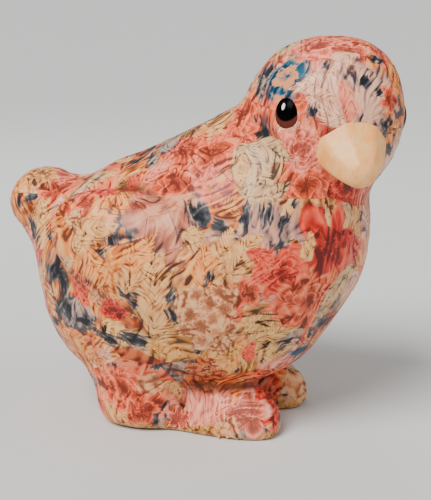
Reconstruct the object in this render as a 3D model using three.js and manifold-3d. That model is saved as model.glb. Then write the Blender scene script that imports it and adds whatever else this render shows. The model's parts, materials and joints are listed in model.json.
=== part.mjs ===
// Decoupage chick figurine: one moulded papier-mache body with its head turned to its right,
// a glued-on beak and two glued-on domed eyes. Millimetres, +Z up, the body facing -Y.
import * as THREE from "three";
import { mergeVertices } from "three/addons/utils/BufferGeometryUtils.js";
import Module from "manifold-3d";

const wasm = await Module();
wasm.setup();

// Driving dimensions. A place is [forward, right, up] from the ground under the middle of the body.
const BODY = {
  rump: { at: [-18, 0, 48.5], radii: [41, 41.5, 42] },
  breast: { at: [21, 0, 67], radii: [36, 37, 36] },
  blend: 26,
};
const BELLY = { at: [11, 0, 42], radii: [31, 33, 27], blend: 12 };
const HEAD = { at: [43.5, 0, 108.9], radii: [22.9, 22.9, 23.6], square: 2.3, turnDeg: 46, blend: 11 };
const NECK = { from: [17, 0, 74], to: [35.5, 0, 101], fromRadius: 31, toRadius: 20.5, blend: 14 };
const TAIL = {
  from: [-44, 0, 60],
  to: [-62.5, 0, 71.5],
  fromRadius: 20,
  toRadius: 12,
  widen: 1.25,
  blend: 8,
};
const WING = { at: [-4, 29, 59], radii: [39, 15, 21], pitchDeg: -25, yawDeg: -10, blend: 3.5 };
const FOOT = { at: [2, 14.5, 3], radii: [31, 10.6, 13.4], square: 2.8, blend: 5 };
const HEEL = { at: [-17, 19, 12.5], radii: [14.8, 13, 16.2], square: 2.4, blend: 6 };
const BEAK = {
  yawDeg: 9.6,
  downDeg: 21,
  pointDeg: 39,
  length: 12.6,
  sunk: 4,
  halfWidth: 12,
  halfHeight: 8.4,
  fullness: 0.45,
  tipRadius: 3.2,
  tipRise: 1.2,
  rings: 7,
  sides: 20,
};
const EYE = {
  right: { sideDeg: 61.5, upDeg: 1.5 },
  left: { sideDeg: -62, upDeg: -5 },
  width: 11.2,
  height: 13.8,
  depth: 3.1,
  proud: 0.9,
  narrowTop: 0.12,
  segments: 18,
  rings: 10,
};
const GLUE_GAP = 0.3;
const CELL = 4;

// Where the middle of the whole length lies, forward of the body's middle.
const CENTRE_FORWARD = -3.5;

// Colours, roughness from the finished surface.
const MATERIALS = {
  paper: new THREE.MeshStandardMaterial({ color: 0xdd9a80, roughness: 0.45, metalness: 0 }),
  beak: new THREE.MeshStandardMaterial({ color: 0xecc9a4, roughness: 0.5, metalness: 0 }),
  eye: new THREE.MeshStandardMaterial({ color: 0x1a0f0e, roughness: 0.15, metalness: 0 }),
};

const RAD = Math.PI / 180;
const place = ([forward, right, up]) => new THREE.Vector3(-right, CENTRE_FORWARD - forward, up);

// Signed distances to the simple forms, negative inside.
function ellipsoid(p, [a, b, c]) {
  const k0 = Math.hypot(p[0] / a, p[1] / b, p[2] / c);
  const k1 = Math.hypot(p[0] / (a * a), p[1] / (b * b), p[2] / (c * c));
  return k1 < 1e-9 ? -Math.min(a, b, c) : (k0 * (k0 - 1)) / k1;
}

function squareBall(p, radii, power) {
  const sum = p.reduce((total, v, i) => total + Math.abs(v / radii[i]) ** power, 0);
  const share = Math.max(sum ** (1 / power), 1e-6);
  return Math.hypot(...p) * (1 - 1 / share);
}

function roundCone(p, from, to, fromRadius, toRadius) {
  const axis = to.map((v, i) => v - from[i]);
  const rel = p.map((v, i) => v - from[i]);
  const t = dot(rel, axis) / dot(axis, axis);
  const s = Math.min(1, Math.max(0, t));
  const off = rel.map((v, i) => v - s * axis[i]);
  return Math.hypot(...off) - (fromRadius + s * (toRadius - fromRadius));
}

const dot = (a, b) => a[0] * b[0] + a[1] * b[1] + a[2] * b[2];
const less = (a, b) => a.map((v, i) => v - b[i]);

function smoothUnion(a, b, k) {
  const h = Math.max(k - Math.abs(a - b), 0) / k;
  return Math.min(a, b) - h * h * k * 0.25;
}

// Turns a [forward, right, up] offset: pitch lifts the front, yaw swings the front to the right.
function turned([f, r, u], pitchDeg, yawDeg) {
  const cp = Math.cos(pitchDeg * RAD);
  const sp = Math.sin(pitchDeg * RAD);
  const cy = Math.cos(yawDeg * RAD);
  const sy = Math.sin(yawDeg * RAD);
  const f1 = f * cy + r * sy;
  const r1 = -f * sy + r * cy;
  return [f1 * cp + u * sp, r1, -f1 * sp + u * cp];
}

// The whole moulded body as one signed distance of a [forward, right, up] place.
function chick(p) {
  const mirrored = [p[0], Math.abs(p[1]), p[2]];
  let d = smoothUnion(
    ellipsoid(less(p, BODY.rump.at), BODY.rump.radii),
    ellipsoid(less(p, BODY.breast.at), BODY.breast.radii),
    BODY.blend,
  );
  d = smoothUnion(d, ellipsoid(less(p, BELLY.at), BELLY.radii), BELLY.blend);
  d = smoothUnion(d, roundCone(p, NECK.from, NECK.to, NECK.fromRadius, NECK.toRadius), NECK.blend);
  const face = turned(less(p, HEAD.at), 0, HEAD.turnDeg);
  d = smoothUnion(d, squareBall(face, HEAD.radii, HEAD.square), HEAD.blend);
  const flat = [p[0], p[1] / TAIL.widen, p[2]];
  d = smoothUnion(d, roundCone(flat, TAIL.from, TAIL.to, TAIL.fromRadius, TAIL.toRadius), TAIL.blend);
  const wing = turned(less(mirrored, WING.at), WING.pitchDeg, WING.yawDeg);
  d = smoothUnion(d, ellipsoid(wing, WING.radii), WING.blend);
  let foot = squareBall(less(mirrored, FOOT.at), FOOT.radii, FOOT.square);
  foot = smoothUnion(foot, squareBall(less(mirrored, HEEL.at), HEEL.radii, HEEL.square), HEEL.blend);
  return smoothUnion(d, foot, FOOT.blend);
}

// Surface nets: one vertex in each cell that the surface crosses, one quad across each crossed edge.
function polygonize(field, level, low, high, cell) {
  const n = low.map((v, i) => Math.ceil((high[i] - v) / cell) + 1);
  const index = (i, j, k) => i + n[0] * (j + n[1] * k);
  const value = new Float64Array(n[0] * n[1] * n[2]);
  for (let k = 0; k < n[2]; k++)
    for (let j = 0; j < n[1]; j++)
      for (let i = 0; i < n[0]; i++)
        value[index(i, j, k)] = field([low[0] + i * cell, low[1] + j * cell, low[2] + k * cell]) - level;
  const corners = [0, 1, 2, 3, 4, 5, 6, 7].map((c) => [c & 1, (c >> 1) & 1, c >> 2]);
  const vertexOf = new Map();
  const places = [];
  for (let k = 0; k + 1 < n[2]; k++)
    for (let j = 0; j + 1 < n[1]; j++)
      for (let i = 0; i + 1 < n[0]; i++) {
        const at = corners.map(([a, b, c]) => value[index(i + a, j + b, k + c)]);
        const inside = at.filter((v) => v < 0).length;
        if (inside === 0 || inside === 8) continue;
        const sum = [0, 0, 0];
        let crossings = 0;
        for (let a = 0; a < 8; a++)
          for (const step of [1, 2, 4]) {
            const b = a | step;
            if (b === a || at[a] < 0 === at[b] < 0) continue;
            const t = at[a] / (at[a] - at[b]);
            corners[a].forEach((v, axis) => (sum[axis] += v + t * (corners[b][axis] - v)));
            crossings += 1;
          }
        vertexOf.set(index(i, j, k), places.length);
        const cellAt = [i, j, k];
        places.push(sum.map((v, axis) => low[axis] + cell * (cellAt[axis] + v / crossings)));
      }
  for (const p of places) settle(p, field, level);
  const triangles = [];
  const strides = [1, n[0], n[0] * n[1]];
  for (let k = 1; k + 1 < n[2]; k++)
    for (let j = 1; j + 1 < n[1]; j++)
      for (let i = 1; i + 1 < n[0]; i++)
        for (let axis = 0; axis < 3; axis++) {
          const here = index(i, j, k);
          const a = value[here];
          const b = value[here + strides[axis]];
          if (a < 0 === b < 0) continue;
          const s = strides[(axis + 1) % 3];
          const t = strides[(axis + 2) % 3];
          const quad = [here - s - t, here - t, here, here - s].map((c) => vertexOf.get(c));
          if (a < 0) quad.reverse();
          triangles.push(quad[0], quad[1], quad[2], quad[0], quad[2], quad[3]);
        }
  return { places, triangles };
}

// Moves a point along the field's slope until it lies on the surface.
const SETTLE = { step: 0.05, rounds: 3, leastSlope: 0.25 };
function settle(p, field, level) {
  const e = SETTLE.step;
  for (let round = 0; round < SETTLE.rounds; round++) {
    const d = field(p) - level;
    const slope = [0, 1, 2].map((axis) => {
      const q = [...p];
      q[axis] += e;
      return (field(q) - level - d) / e;
    });
    const steep = Math.max(dot(slope, slope), SETTLE.leastSlope);
    for (let axis = 0; axis < 3; axis++) p[axis] -= (d * slope[axis]) / steep;
  }
}

function geometryOf({ places, triangles }) {
  const position = new Float32Array(places.flatMap((p) => place(p).toArray()));
  return new THREE.BufferGeometry()
    .setAttribute("position", new THREE.BufferAttribute(position, 3))
    .setIndex(triangles);
}

// Closed geometry to a solid and back.
function solid(geometry, matrix = new THREE.Matrix4()) {
  const bare = geometry.clone().applyMatrix4(matrix);
  bare.deleteAttribute("normal");
  bare.deleteAttribute("uv");
  const merged = mergeVertices(bare, 1e-4);
  return new wasm.Manifold(
    new wasm.Mesh({
      numProp: 3,
      vertProperties: new Float32Array(merged.attributes.position.array),
      triVerts: new Uint32Array(merged.index.array),
    }),
  );
}

function geometryFrom(made) {
  const mesh = made.getMesh();
  const geometry = new THREE.BufferGeometry();
  geometry.setAttribute("position", new THREE.BufferAttribute(new Float32Array(mesh.vertProperties), 3));
  geometry.setIndex(new THREE.BufferAttribute(new Uint32Array(mesh.triVerts), 1));
  const flat = geometry.toNonIndexed();
  flat.computeVertexNormals();
  return flat;
}

// The moulded body, cut flat at the ground.
const LOW = [-90, -62, -26];
const HIGH = [84, 62, 144];
const GROUND = { breadth: 400, depth: 40 };
const ground = solid(
  new THREE.BoxGeometry(GROUND.breadth, GROUND.breadth, GROUND.depth),
  new THREE.Matrix4().makeTranslation(0, 0, -GROUND.depth / 2),
);
const moulded = (level) => solid(geometryOf(polygonize(chick, level, LOW, HIGH, CELL)));
const body = moulded(0).subtract(ground);
const grown = moulded(GLUE_GAP);

// Ways out from the head's middle: yaw to the right of the face, elevation up.
function headWay(yawDeg, upDeg) {
  const yaw = (HEAD.turnDeg + yawDeg) * RAD;
  const up = upDeg * RAD;
  return [Math.cos(yaw) * Math.cos(up), Math.sin(yaw) * Math.cos(up), Math.sin(up)];
}

const along = (from, way, distance) => from.map((v, i) => v + distance * way[i]);

// The point of the head's surface on the way out.
const HALVINGS = 40;
function onHead(way) {
  let inner = 0;
  let outer = 2 * HEAD.radii[0];
  for (let round = 0; round < HALVINGS; round++) {
    const middle = (inner + outer) / 2;
    if (chick(along(HEAD.at, way, middle)) < 0) inner = middle;
    else outer = middle;
  }
  return along(HEAD.at, way, inner);
}

// A right-handed frame at a point: sideways, upward and outward.
function frameOn(point, way, yawDeg) {
  const toward = (w) => place(along(point, w, 1)).sub(place(point));
  const out = toward(way);
  const side = toward(headWay(yawDeg - 90, 0));
  const up = new THREE.Vector3().crossVectors(out, side).normalize();
  return new THREE.Matrix4().makeBasis(side, up, out).setPosition(place(point));
}

// The beak: an oval on the face drawn out to a blunt point, its back fitted to the head.
function beak() {
  const way = headWay(BEAK.yawDeg, -BEAK.downDeg);
  const frame = frameOn(onHead(way), way, BEAK.yawDeg);
  const drop = (BEAK.pointDeg - BEAK.downDeg) * RAD;
  const tip = new THREE.Vector3(0, -Math.sin(drop), Math.cos(drop)).multiplyScalar(BEAK.length);
  const base = new THREE.Vector3(0, 0, -BEAK.sunk);
  const points = [];
  for (let k = 0; k <= BEAK.rings; k++) {
    const t = k / BEAK.rings;
    const middle = base.clone().lerp(tip, t);
    const swell = Math.sqrt(1 - t * t) * BEAK.fullness + (1 - t) * (1 - BEAK.fullness);
    const width = BEAK.tipRadius + (BEAK.halfWidth - BEAK.tipRadius) * swell;
    const height = BEAK.tipRadius + (BEAK.halfHeight - BEAK.tipRadius) * swell;
    for (let s = 0; s < BEAK.sides; s++) {
      const a = (2 * Math.PI * s) / BEAK.sides;
      points.push(new THREE.Vector3(width * Math.cos(a), height * Math.sin(a), 0).add(middle));
    }
  }
  const back = points.push(base) - 1;
  const front = points.push(tip.clone().setLength(BEAK.length + BEAK.tipRise)) - 1;
  const faces = [];
  for (let s = 0; s < BEAK.sides; s++) {
    const next = (s + 1) % BEAK.sides;
    for (let k = 0; k < BEAK.rings; k++) {
      const ring = k * BEAK.sides;
      const above = ring + BEAK.sides;
      faces.push(ring + s, ring + next, above + next, ring + s, above + next, above + s);
    }
    const tipRing = BEAK.rings * BEAK.sides;
    faces.push(back, next, s, front, tipRing + s, tipRing + next);
  }
  const geometry = new THREE.BufferGeometry().setFromPoints(points).setIndex(faces);
  return solid(geometry, frame).subtract(grown);
}

// An eye: a low oval dome, narrower above, its back fitted to the head.
function eye({ sideDeg, upDeg }) {
  const way = headWay(sideDeg, upDeg);
  const frame = frameOn(along(onHead(way), way, EYE.proud - EYE.depth), way, sideDeg);
  const geometry = new THREE.SphereGeometry(1, EYE.segments, EYE.rings);
  const at = geometry.getAttribute("position");
  for (let i = 0; i < at.count; i++) {
    const height = at.getY(i);
    const half = (EYE.width / 2) * (1 - EYE.narrowTop * height);
    at.setXYZ(i, at.getX(i) * half, (height * EYE.height) / 2, at.getZ(i) * EYE.depth);
  }
  return solid(geometry, frame).subtract(grown);
}

const group = new THREE.Group();
function add(name, made, material) {
  const mesh = new THREE.Mesh(geometryFrom(made), material);
  mesh.name = name;
  group.add(mesh);
}
add("body", body, MATERIALS.paper);
add("beak", beak(), MATERIALS.beak);
add("eye_right", eye(EYE.right), MATERIALS.eye);
add("eye_left", eye(EYE.left), MATERIALS.eye);

export default group;
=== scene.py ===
# %% [markdown]
# A decoupage chick. The real figure is moulded from paper pulp, then scraps of flower-print paper are
# pasted all over it and varnished. A plain beak and two glossy eyes are glued on at the end.
# This first cell loads the measured solids, which say where every piece goes.

# %% Load the frame
import json
import math

import bmesh
import bpy
import numpy as np
from mathutils import Matrix, Vector
from mathutils.bvhtree import BVHTree

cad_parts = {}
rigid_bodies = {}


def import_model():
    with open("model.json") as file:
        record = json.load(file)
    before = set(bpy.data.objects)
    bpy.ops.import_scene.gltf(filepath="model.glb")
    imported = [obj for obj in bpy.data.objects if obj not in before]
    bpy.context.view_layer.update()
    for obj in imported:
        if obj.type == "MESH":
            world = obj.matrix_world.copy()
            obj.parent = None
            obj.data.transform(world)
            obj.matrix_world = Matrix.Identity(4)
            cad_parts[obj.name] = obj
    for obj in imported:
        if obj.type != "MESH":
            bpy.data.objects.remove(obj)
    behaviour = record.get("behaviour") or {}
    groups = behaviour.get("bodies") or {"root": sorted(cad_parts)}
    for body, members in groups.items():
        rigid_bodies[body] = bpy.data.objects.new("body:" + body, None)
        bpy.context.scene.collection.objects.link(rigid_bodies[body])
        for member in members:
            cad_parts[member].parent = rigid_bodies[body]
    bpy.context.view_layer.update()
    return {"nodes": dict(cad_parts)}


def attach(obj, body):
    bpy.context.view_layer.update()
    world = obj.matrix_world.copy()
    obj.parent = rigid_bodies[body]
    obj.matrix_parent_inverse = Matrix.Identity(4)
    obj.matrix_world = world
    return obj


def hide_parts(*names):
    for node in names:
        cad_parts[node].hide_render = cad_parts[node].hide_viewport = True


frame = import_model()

print("nodes:", sorted(frame["nodes"]))

# %% [markdown]
# The chick's own sizes, in millimetres. A place is [forward, right, up] from the ground under the
# middle of the body, which is how a sculptor would describe it. `place` turns that into the scene's
# metres, where the chick faces -Y and its right side is -X.

# %% Sizes of the figure
MM = 0.001
CENTRE_FORWARD = -3.5
FORMS = {
    "Rump middle": (-18, 0, 48.5),
    "Rump radii": (41, 41.5, 42),
    "Breast middle": (21, 0, 67),
    "Breast radii": (36, 37, 36),
    "Belly middle": (11, 0, 42),
    "Belly radii": (31, 33, 27),
    "Head middle": (43.5, 0, 108.9),
    "Head radii": (22.9, 22.9, 23.6),
    "Neck from": (17, 0, 74),
    "Neck to": (35.5, 0, 101),
    "Tail from": (-44, 0, 60),
    "Tail to": (-62.5, 0, 71.5),
    "Wing middle": (-4, 29, 59),
    "Wing radii": (39, 15, 21),
    "Foot middle": (2, 14.5, 3),
    "Foot radii": (31, 10.6, 13.4),
    "Heel middle": (-17, 19, 12.5),
    "Heel radii": (14.8, 13, 16.2),
}
HEAD_TURN_DEG = 46
WING_PITCH_DEG = -25
WING_YAW_DEG = -10
NECK_RADII = (31, 20.5)
TAIL_RADII = (20, 12)
TAIL_WIDEN = 1.25
HEAD_SQUARE = 2.3
FOOT_SQUARE = 2.8
HEEL_SQUARE = 2.4
BLENDS = {
    "breast": 26, "belly": 12, "neck": 14, "head": 11, "tail": 8, "wing": 2.2, "heel": 6, "foot": 8,
}


def place(forward, right, up):
    return Vector((-right, CENTRE_FORWARD - forward, up)) * MM


def way(forward, right, up):
    return Vector((-right, -forward, up)).normalized()


def head_way(yaw_deg, up_deg):
    yaw = math.radians(HEAD_TURN_DEG + yaw_deg)
    up = math.radians(up_deg)
    return way(math.cos(yaw) * math.cos(up), math.sin(yaw) * math.cos(up), math.sin(up))


print("forms:", len({name.split()[0] for name in FORMS}))

# %% [markdown]
# The camera comes early, because the scraps and flowers in view are set by pixels of the photograph.
# It stands 68 degrees round to the chick's right and looks 14.5 degrees down. `photo_ray` gives the
# line of sight through one pixel of the 431 by 500 picture.

# %% Camera
PHOTO = (431, 500)
FOCAL_PX = 1080
VIEW_AZIMUTH_DEG = 68
VIEW_DOWN_DEG = 14.5
CAMERA_OFF = (139.8, 336.4, 152.6)
SENSOR_MM = 36

eye_point = bpy.data.cameras.new("camera")
eye_point.sensor_width = SENSOR_MM
eye_point.lens = SENSOR_MM * FOCAL_PX / max(PHOTO)
camera = bpy.data.objects.new("camera", eye_point)
bpy.context.scene.collection.objects.link(camera)
camera.location = place(*CAMERA_OFF)
camera.rotation_euler = (math.radians(90 - VIEW_DOWN_DEG), 0, math.radians(-VIEW_AZIMUTH_DEG))
bpy.context.scene.camera = camera
CAMERA_TURN = camera.rotation_euler.to_matrix()


def photo_ray(px, py):
    aim = Vector(((px - PHOTO[0] / 2) / FOCAL_PX, (PHOTO[1] / 2 - py) / FOCAL_PX, -1))
    return camera.location.copy(), (CAMERA_TURN @ aim).normalized()


print("camera at", [round(v, 3) for v in camera.location])

# %% [markdown]
# Node trees are wired by a small helper, so that a line of script reads like the sum it stands for.
# It serves the shape, which is a Geometry Nodes tree, and every finish, which is a shader tree.

# %% Wiring helper
NOISE_MIDDLE = 0.5


class Wiring:
    def __init__(self, tree):
        self.tree = tree

    def put(self, socket, given):
        if isinstance(given, bpy.types.NodeSocket):
            self.tree.links.new(given, socket)
        else:
            socket.default_value = given

    def give(self, node, given):
        for key, value in given.items():
            self.put(node.inputs[key], value)
        return node

    def node(self, kind, given=None, **settings):
        made = self.tree.nodes.new(kind)
        for name, value in settings.items():
            setattr(made, name, value)
        return self.give(made, given or {})

    def math(self, operation, *given, clamp=False):
        made = self.node("ShaderNodeMath", dict(enumerate(given)), operation=operation, use_clamp=clamp)
        return made.outputs[0]

    def times(self, a, b, clamp=False):
        return self.math("MULTIPLY", a, b, clamp=clamp)

    def plus(self, a, b):
        return self.math("ADD", a, b)

    def minus(self, a, b):
        return self.math("SUBTRACT", a, b)

    def scaled(self, value, factor, offset, clamp=False):
        return self.math("MULTIPLY_ADD", value, factor, offset, clamp=clamp)

    def centred(self, value):
        return self.minus(value, NOISE_MIDDLE)

    def total(self, *shares):
        whole = self.times(*shares[0])
        for value, weight in shares[1:]:
            whole = self.scaled(value, weight, whole)
        return whole

    def vec(self, operation, *given):
        made = self.node("ShaderNodeVectorMath", operation=operation)
        for i, value in enumerate(given):
            self.put(made.inputs["Scale"] if operation == "SCALE" and i == 1 else made.inputs[i], value)
        scalar = operation in ("DOT_PRODUCT", "LENGTH", "DISTANCE")
        return made.outputs["Value" if scalar else "Vector"]

    def parts(self, vector):
        return self.node("ShaderNodeSeparateXYZ", {0: vector}).outputs

    def join(self, x, y, z):
        return self.node("ShaderNodeCombineXYZ", {0: x, 1: y, 2: z}).outputs[0]

    def ramp(self, value, low, high, to_low=0.0, to_high=1.0, smooth=False):
        made = self.node("ShaderNodeMapRange", {0: value, 1: low, 2: high, 3: to_low, 4: to_high})
        made.interpolation_type = "SMOOTHSTEP" if smooth else "LINEAR"
        return made.outputs[0]

    def mix(self, share, a, b):
        made = self.node("ShaderNodeMix", {0: share, 6: a, 7: b}, data_type="RGBA")
        return made.outputs[2]

    def mix_value(self, share, a, b):
        return self.node("ShaderNodeMix", {0: share, 2: a, 3: b}).outputs[0]

    def mix_vector(self, share, a, b):
        return self.node("ShaderNodeMix", {0: share, 4: a, 5: b}, data_type="VECTOR").outputs[1]

    def noise(self, vector, scale, detail=2.0, rough=0.5):
        given = {"Vector": vector, "Scale": scale, "Detail": detail, "Roughness": rough}
        return self.node("ShaderNodeTexNoise", given).outputs[0]

    def swirl(self, vector, scale, detail=0.0):
        made = self.node("ShaderNodeTexNoise", {"Vector": vector, "Scale": scale, "Detail": detail})
        return self.vec("SUBTRACT", made.outputs["Color"], (NOISE_MIDDLE,) * 3)

    def object_mm(self):
        return self.vec("SCALE", self.node("ShaderNodeTexCoord").outputs["Object"], 1 / MM)

    def attribute(self, name):
        return self.node("ShaderNodeAttribute", attribute_name=name).outputs


# %% [markdown]
# The moulded body is one lump with no seams, so it is made as a field: each form gives the distance
# to its own surface, and soft unions melt the forms into each other as pulp does under a thumb.
# A Volume Cube holds the field and Volume to Mesh draws its skin. Modelling the same lump by pushing
# vertices would leave stretched faces at the wing and feet, and the field keeps them even.

# %% Distances to the simple forms
TINY = 1e-6


def ellipsoid(w, p, middle, radii):
    off = w.vec("SUBTRACT", p, middle)
    k0 = w.vec("LENGTH", w.vec("DIVIDE", off, radii))
    k1 = w.vec("LENGTH", w.vec("DIVIDE", off, w.vec("MULTIPLY", radii, radii)))
    return w.math("DIVIDE", w.times(k0, w.minus(k0, 1)), w.math("MAXIMUM", k1, TINY))


def square_ball(w, off, radii, power):
    shares = w.parts(w.vec("ABSOLUTE", w.vec("DIVIDE", off, radii)))
    powered = [w.math("POWER", share, power) for share in shares]
    total = w.plus(w.plus(powered[0], powered[1]), powered[2])
    share = w.math("MAXIMUM", w.math("POWER", total, 1 / power), TINY)
    return w.times(w.vec("LENGTH", off), w.minus(1, w.math("DIVIDE", 1, share)))


def round_cone(w, p, start, end, radii):
    axis = w.vec("SUBTRACT", end, start)
    rel = w.vec("SUBTRACT", p, start)
    t = w.math("DIVIDE", w.vec("DOT_PRODUCT", rel, axis), w.vec("DOT_PRODUCT", axis, axis), clamp=True)
    off = w.vec("LENGTH", w.vec("SUBTRACT", rel, w.vec("SCALE", axis, t)))
    return w.minus(off, w.ramp(t, 0, 1, radii[0], radii[1]))


def soft_union(w, a, b, blend):
    near = w.minus(blend, w.math("ABSOLUTE", w.minus(a, b)))
    share = w.math("DIVIDE", w.math("MAXIMUM", near, 0), blend)
    sunk = w.times(w.times(share, share), blend / 4)
    return w.minus(w.math("MINIMUM", a, b), sunk)


def turned(w, off, pitch_deg, yaw_deg):
    pitch, yaw = math.radians(pitch_deg), math.radians(yaw_deg)
    front = (math.cos(yaw), math.sin(yaw), 0)
    right = (-math.sin(yaw), math.cos(yaw), 0)
    along = (front[0] * math.cos(pitch), front[1] * math.cos(pitch), math.sin(pitch))
    above = (-front[0] * math.sin(pitch), -front[1] * math.sin(pitch), math.cos(pitch))
    return w.join(*[w.vec("DOT_PRODUCT", off, axis) for axis in (along, right, above)])


# %% [markdown]
# The tree's inputs are the places and sizes above. Wing and foot are drawn once and mirrored by taking
# the distance to the right without its sign. A shallow groove goes round each wing before it is joined.

# %% Body tree
VOXEL = 0.9
LOW = (-50, -78, -4)
HIGH = (50, 78, 137)
OUTSIDE = -10.0
GROOVE = {"depth": 1.25, "width": 9}
SOLE_ROUND = 3.2


def new_tree(name, inputs):
    made = bpy.data.node_groups.new(name, "GeometryNodeTree")
    made.interface.new_socket("Geometry", in_out="OUTPUT", socket_type="NodeSocketGeometry")
    for socket, kind in inputs.items():
        made.interface.new_socket(socket, in_out="INPUT", socket_type="NodeSocket" + kind)
    return made


paper = bpy.data.materials.new("pasted print paper")
tree = new_tree("moulded chick", {"Finish": "Material", **dict.fromkeys(FORMS, "Vector")})
w = Wiring(tree)
size = w.node("NodeGroupInput").outputs
spot = w.node("GeometryNodeInputPosition").outputs[0]
x, y, z = w.parts(w.vec("SCALE", spot, 1 / MM))
forward = w.minus(CENTRE_FORWARD, y)
right = w.times(x, -1)
p = w.join(forward, right, z)
sided = w.join(forward, w.math("ABSOLUTE", right), z)
flat = w.join(forward, w.math("DIVIDE", right, TAIL_WIDEN), z)


def egg(name):
    return ellipsoid(w, p, size[name + " middle"], size[name + " radii"])


def limb(name, at, radii):
    return round_cone(w, at, size[name + " from"], size[name + " to"], radii)


def block(name, square):
    return square_ball(w, w.vec("SUBTRACT", sided, size[name + " middle"]), size[name + " radii"], square)


lump = soft_union(w, egg("Rump"), egg("Breast"), BLENDS["breast"])
lump = soft_union(w, lump, egg("Belly"), BLENDS["belly"])
lump = soft_union(w, lump, limb("Neck", p, NECK_RADII), BLENDS["neck"])
face = turned(w, w.vec("SUBTRACT", p, size["Head middle"]), 0, HEAD_TURN_DEG)
lump = soft_union(w, lump, square_ball(w, face, size["Head radii"], HEAD_SQUARE), BLENDS["head"])
lump = soft_union(w, lump, limb("Tail", flat, TAIL_RADII), BLENDS["tail"])
wing = turned(w, w.vec("SUBTRACT", sided, size["Wing middle"]), WING_PITCH_DEG, WING_YAW_DEG)
wing = ellipsoid(w, wing, (0, 0, 0), size["Wing radii"])
lump = w.plus(lump, w.ramp(wing, 0, GROOVE["width"], GROOVE["depth"], 0, smooth=True))
lump = soft_union(w, lump, wing, BLENDS["wing"])
foot = soft_union(w, block("Foot", FOOT_SQUARE), block("Heel", HEEL_SQUARE), BLENDS["heel"])
lump = soft_union(w, lump, foot, BLENDS["foot"])
lump = w.times(soft_union(w, w.times(lump, -1), z, SOLE_ROUND), -1)
print("form nodes:", len(tree.nodes))

# %% [markdown]
# The volume is read off in cells of 0.9 mm and its skin is drawn where the field is zero. The last
# steps push the skin in and out a little: slow lumps from the pulp, and thin folds where wet paper
# puckered. Both fade out at the flat soles.

# %% Skin of the body
LUMP = {"height": 0.55, "size": 16, "gain": 2}
FOLD = {"height": 0.28, "size": 7, "gain": 4, "crest": 0.12}
RELIEF_FADE = (0.5, 5)

cells = [int((high - low) / VOXEL) for low, high in zip(LOW, HIGH)]
cube = w.node(
    "GeometryNodeVolumeCube",
    {
        "Density": w.times(lump, -1),
        "Background": OUTSIDE,
        "Min": tuple(v * MM for v in LOW),
        "Max": tuple(v * MM for v in HIGH),
        "Resolution X": cells[0],
        "Resolution Y": cells[1],
        "Resolution Z": cells[2],
    },
)
skin = w.node("GeometryNodeVolumeToMesh", {"Volume": cube.outputs[0], "Threshold": 0.0, "Adaptivity": 0.0})
lumps = w.centred(w.noise(spot, 1 / (LUMP["size"] * MM), detail=1.0))
folds = w.centred(w.noise(spot, 1 / (FOLD["size"] * MM), detail=3.0))
ridges = w.minus(FOLD["crest"], w.math("ABSOLUTE", folds))
lumps = w.times(lumps, LUMP["gain"] * LUMP["height"])
height = w.plus(lumps, w.times(ridges, FOLD["gain"] * FOLD["height"]))
height = w.times(height, w.ramp(z, *RELIEF_FADE, 0, MM))
outward = w.node("GeometryNodeInputNormal").outputs[0]
moved = w.node(
    "GeometryNodeSetPosition", {"Geometry": skin.outputs[0], "Offset": w.vec("SCALE", outward, height)}
)
smooth = w.node("GeometryNodeSetShadeSmooth", {"Geometry": moved.outputs[0]})
solid = w.node("GeometryNodeRealizeInstances", {"Geometry": smooth.outputs[0]})
dressed = w.node("GeometryNodeSetMaterial", {"Geometry": solid.outputs[0], "Material": size["Finish"]})
w.put(w.node("NodeGroupOutput").inputs[0], dressed.outputs[0])
print("cells of the volume:", cells)

# %% [markdown]
# A tree becomes a plain mesh by giving it to a modifier on an empty object, setting its inputs by
# their identifiers, and copying what it made. The modifier is gone before the piece is placed.


# %% Trees to meshes
def made_by(tree, name, inputs, start=None):
    holder = bpy.data.objects.new(name + " maker", start or bpy.data.meshes.new(name + " start"))
    bpy.context.scene.collection.objects.link(holder)
    modifier = holder.modifiers.new(tree.name, "NODES")
    modifier.node_group = tree
    for item in tree.interface.items_tree:
        if item.item_type == "SOCKET" and item.in_out == "INPUT" and item.name in inputs:
            modifier[item.identifier] = inputs[item.name]
    graph = bpy.context.evaluated_depsgraph_get()
    mesh = bpy.data.meshes.new_from_object(holder.evaluated_get(graph), depsgraph=graph)
    mesh.name = name
    bpy.data.objects.remove(holder)
    return mesh


def piece(name, mesh):
    made = bpy.data.objects.new(name, mesh)
    bpy.context.scene.collection.objects.link(made)
    return made


body_inputs = {name: tuple(float(v) for v in value) for name, value in FORMS.items()}
body_mesh = made_by(tree, "papier_mache_body", {**body_inputs, "Finish": paper})
body = piece("papier_mache_body", body_mesh)
print("body:", len(body_mesh.vertices), "vertices,", len(body_mesh.polygons), "faces")

# %% [markdown]
# The skin's points, faces and normals go into arrays, because the scraps and flowers are sorted over
# some tens of thousands of faces at once. `seen_at` gives the spot of the skin behind a pixel, and a
# pixel that just misses the figure is moved towards the middle of the picture until it meets it.

# %% Arrays of the skin
corner_counts = np.zeros(len(body_mesh.polygons), np.int32)
body_mesh.polygons.foreach_get("loop_total", corner_counts)
corner_points = np.zeros(len(body_mesh.loops), np.int32)
body_mesh.loops.foreach_get("vertex_index", corner_points)
corner_faces = np.repeat(np.arange(len(corner_counts)), corner_counts)


def vectors_of(items, name):
    found = np.zeros(len(items) * 3, np.float32)
    items.foreach_get(name, found)
    return found.reshape(-1, 3).astype(float)


points = vectors_of(body_mesh.vertices, "co") / MM
centres = vectors_of(body_mesh.polygons, "center") / MM
facings = vectors_of(body_mesh.polygons, "normal")
corners = points[corner_points]
search = BVHTree.FromPolygons([Vector(q) for q in points], [tuple(f.vertices) for f in body_mesh.polygons])


INSETS = 30
INSET_PARTS = 100


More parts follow.
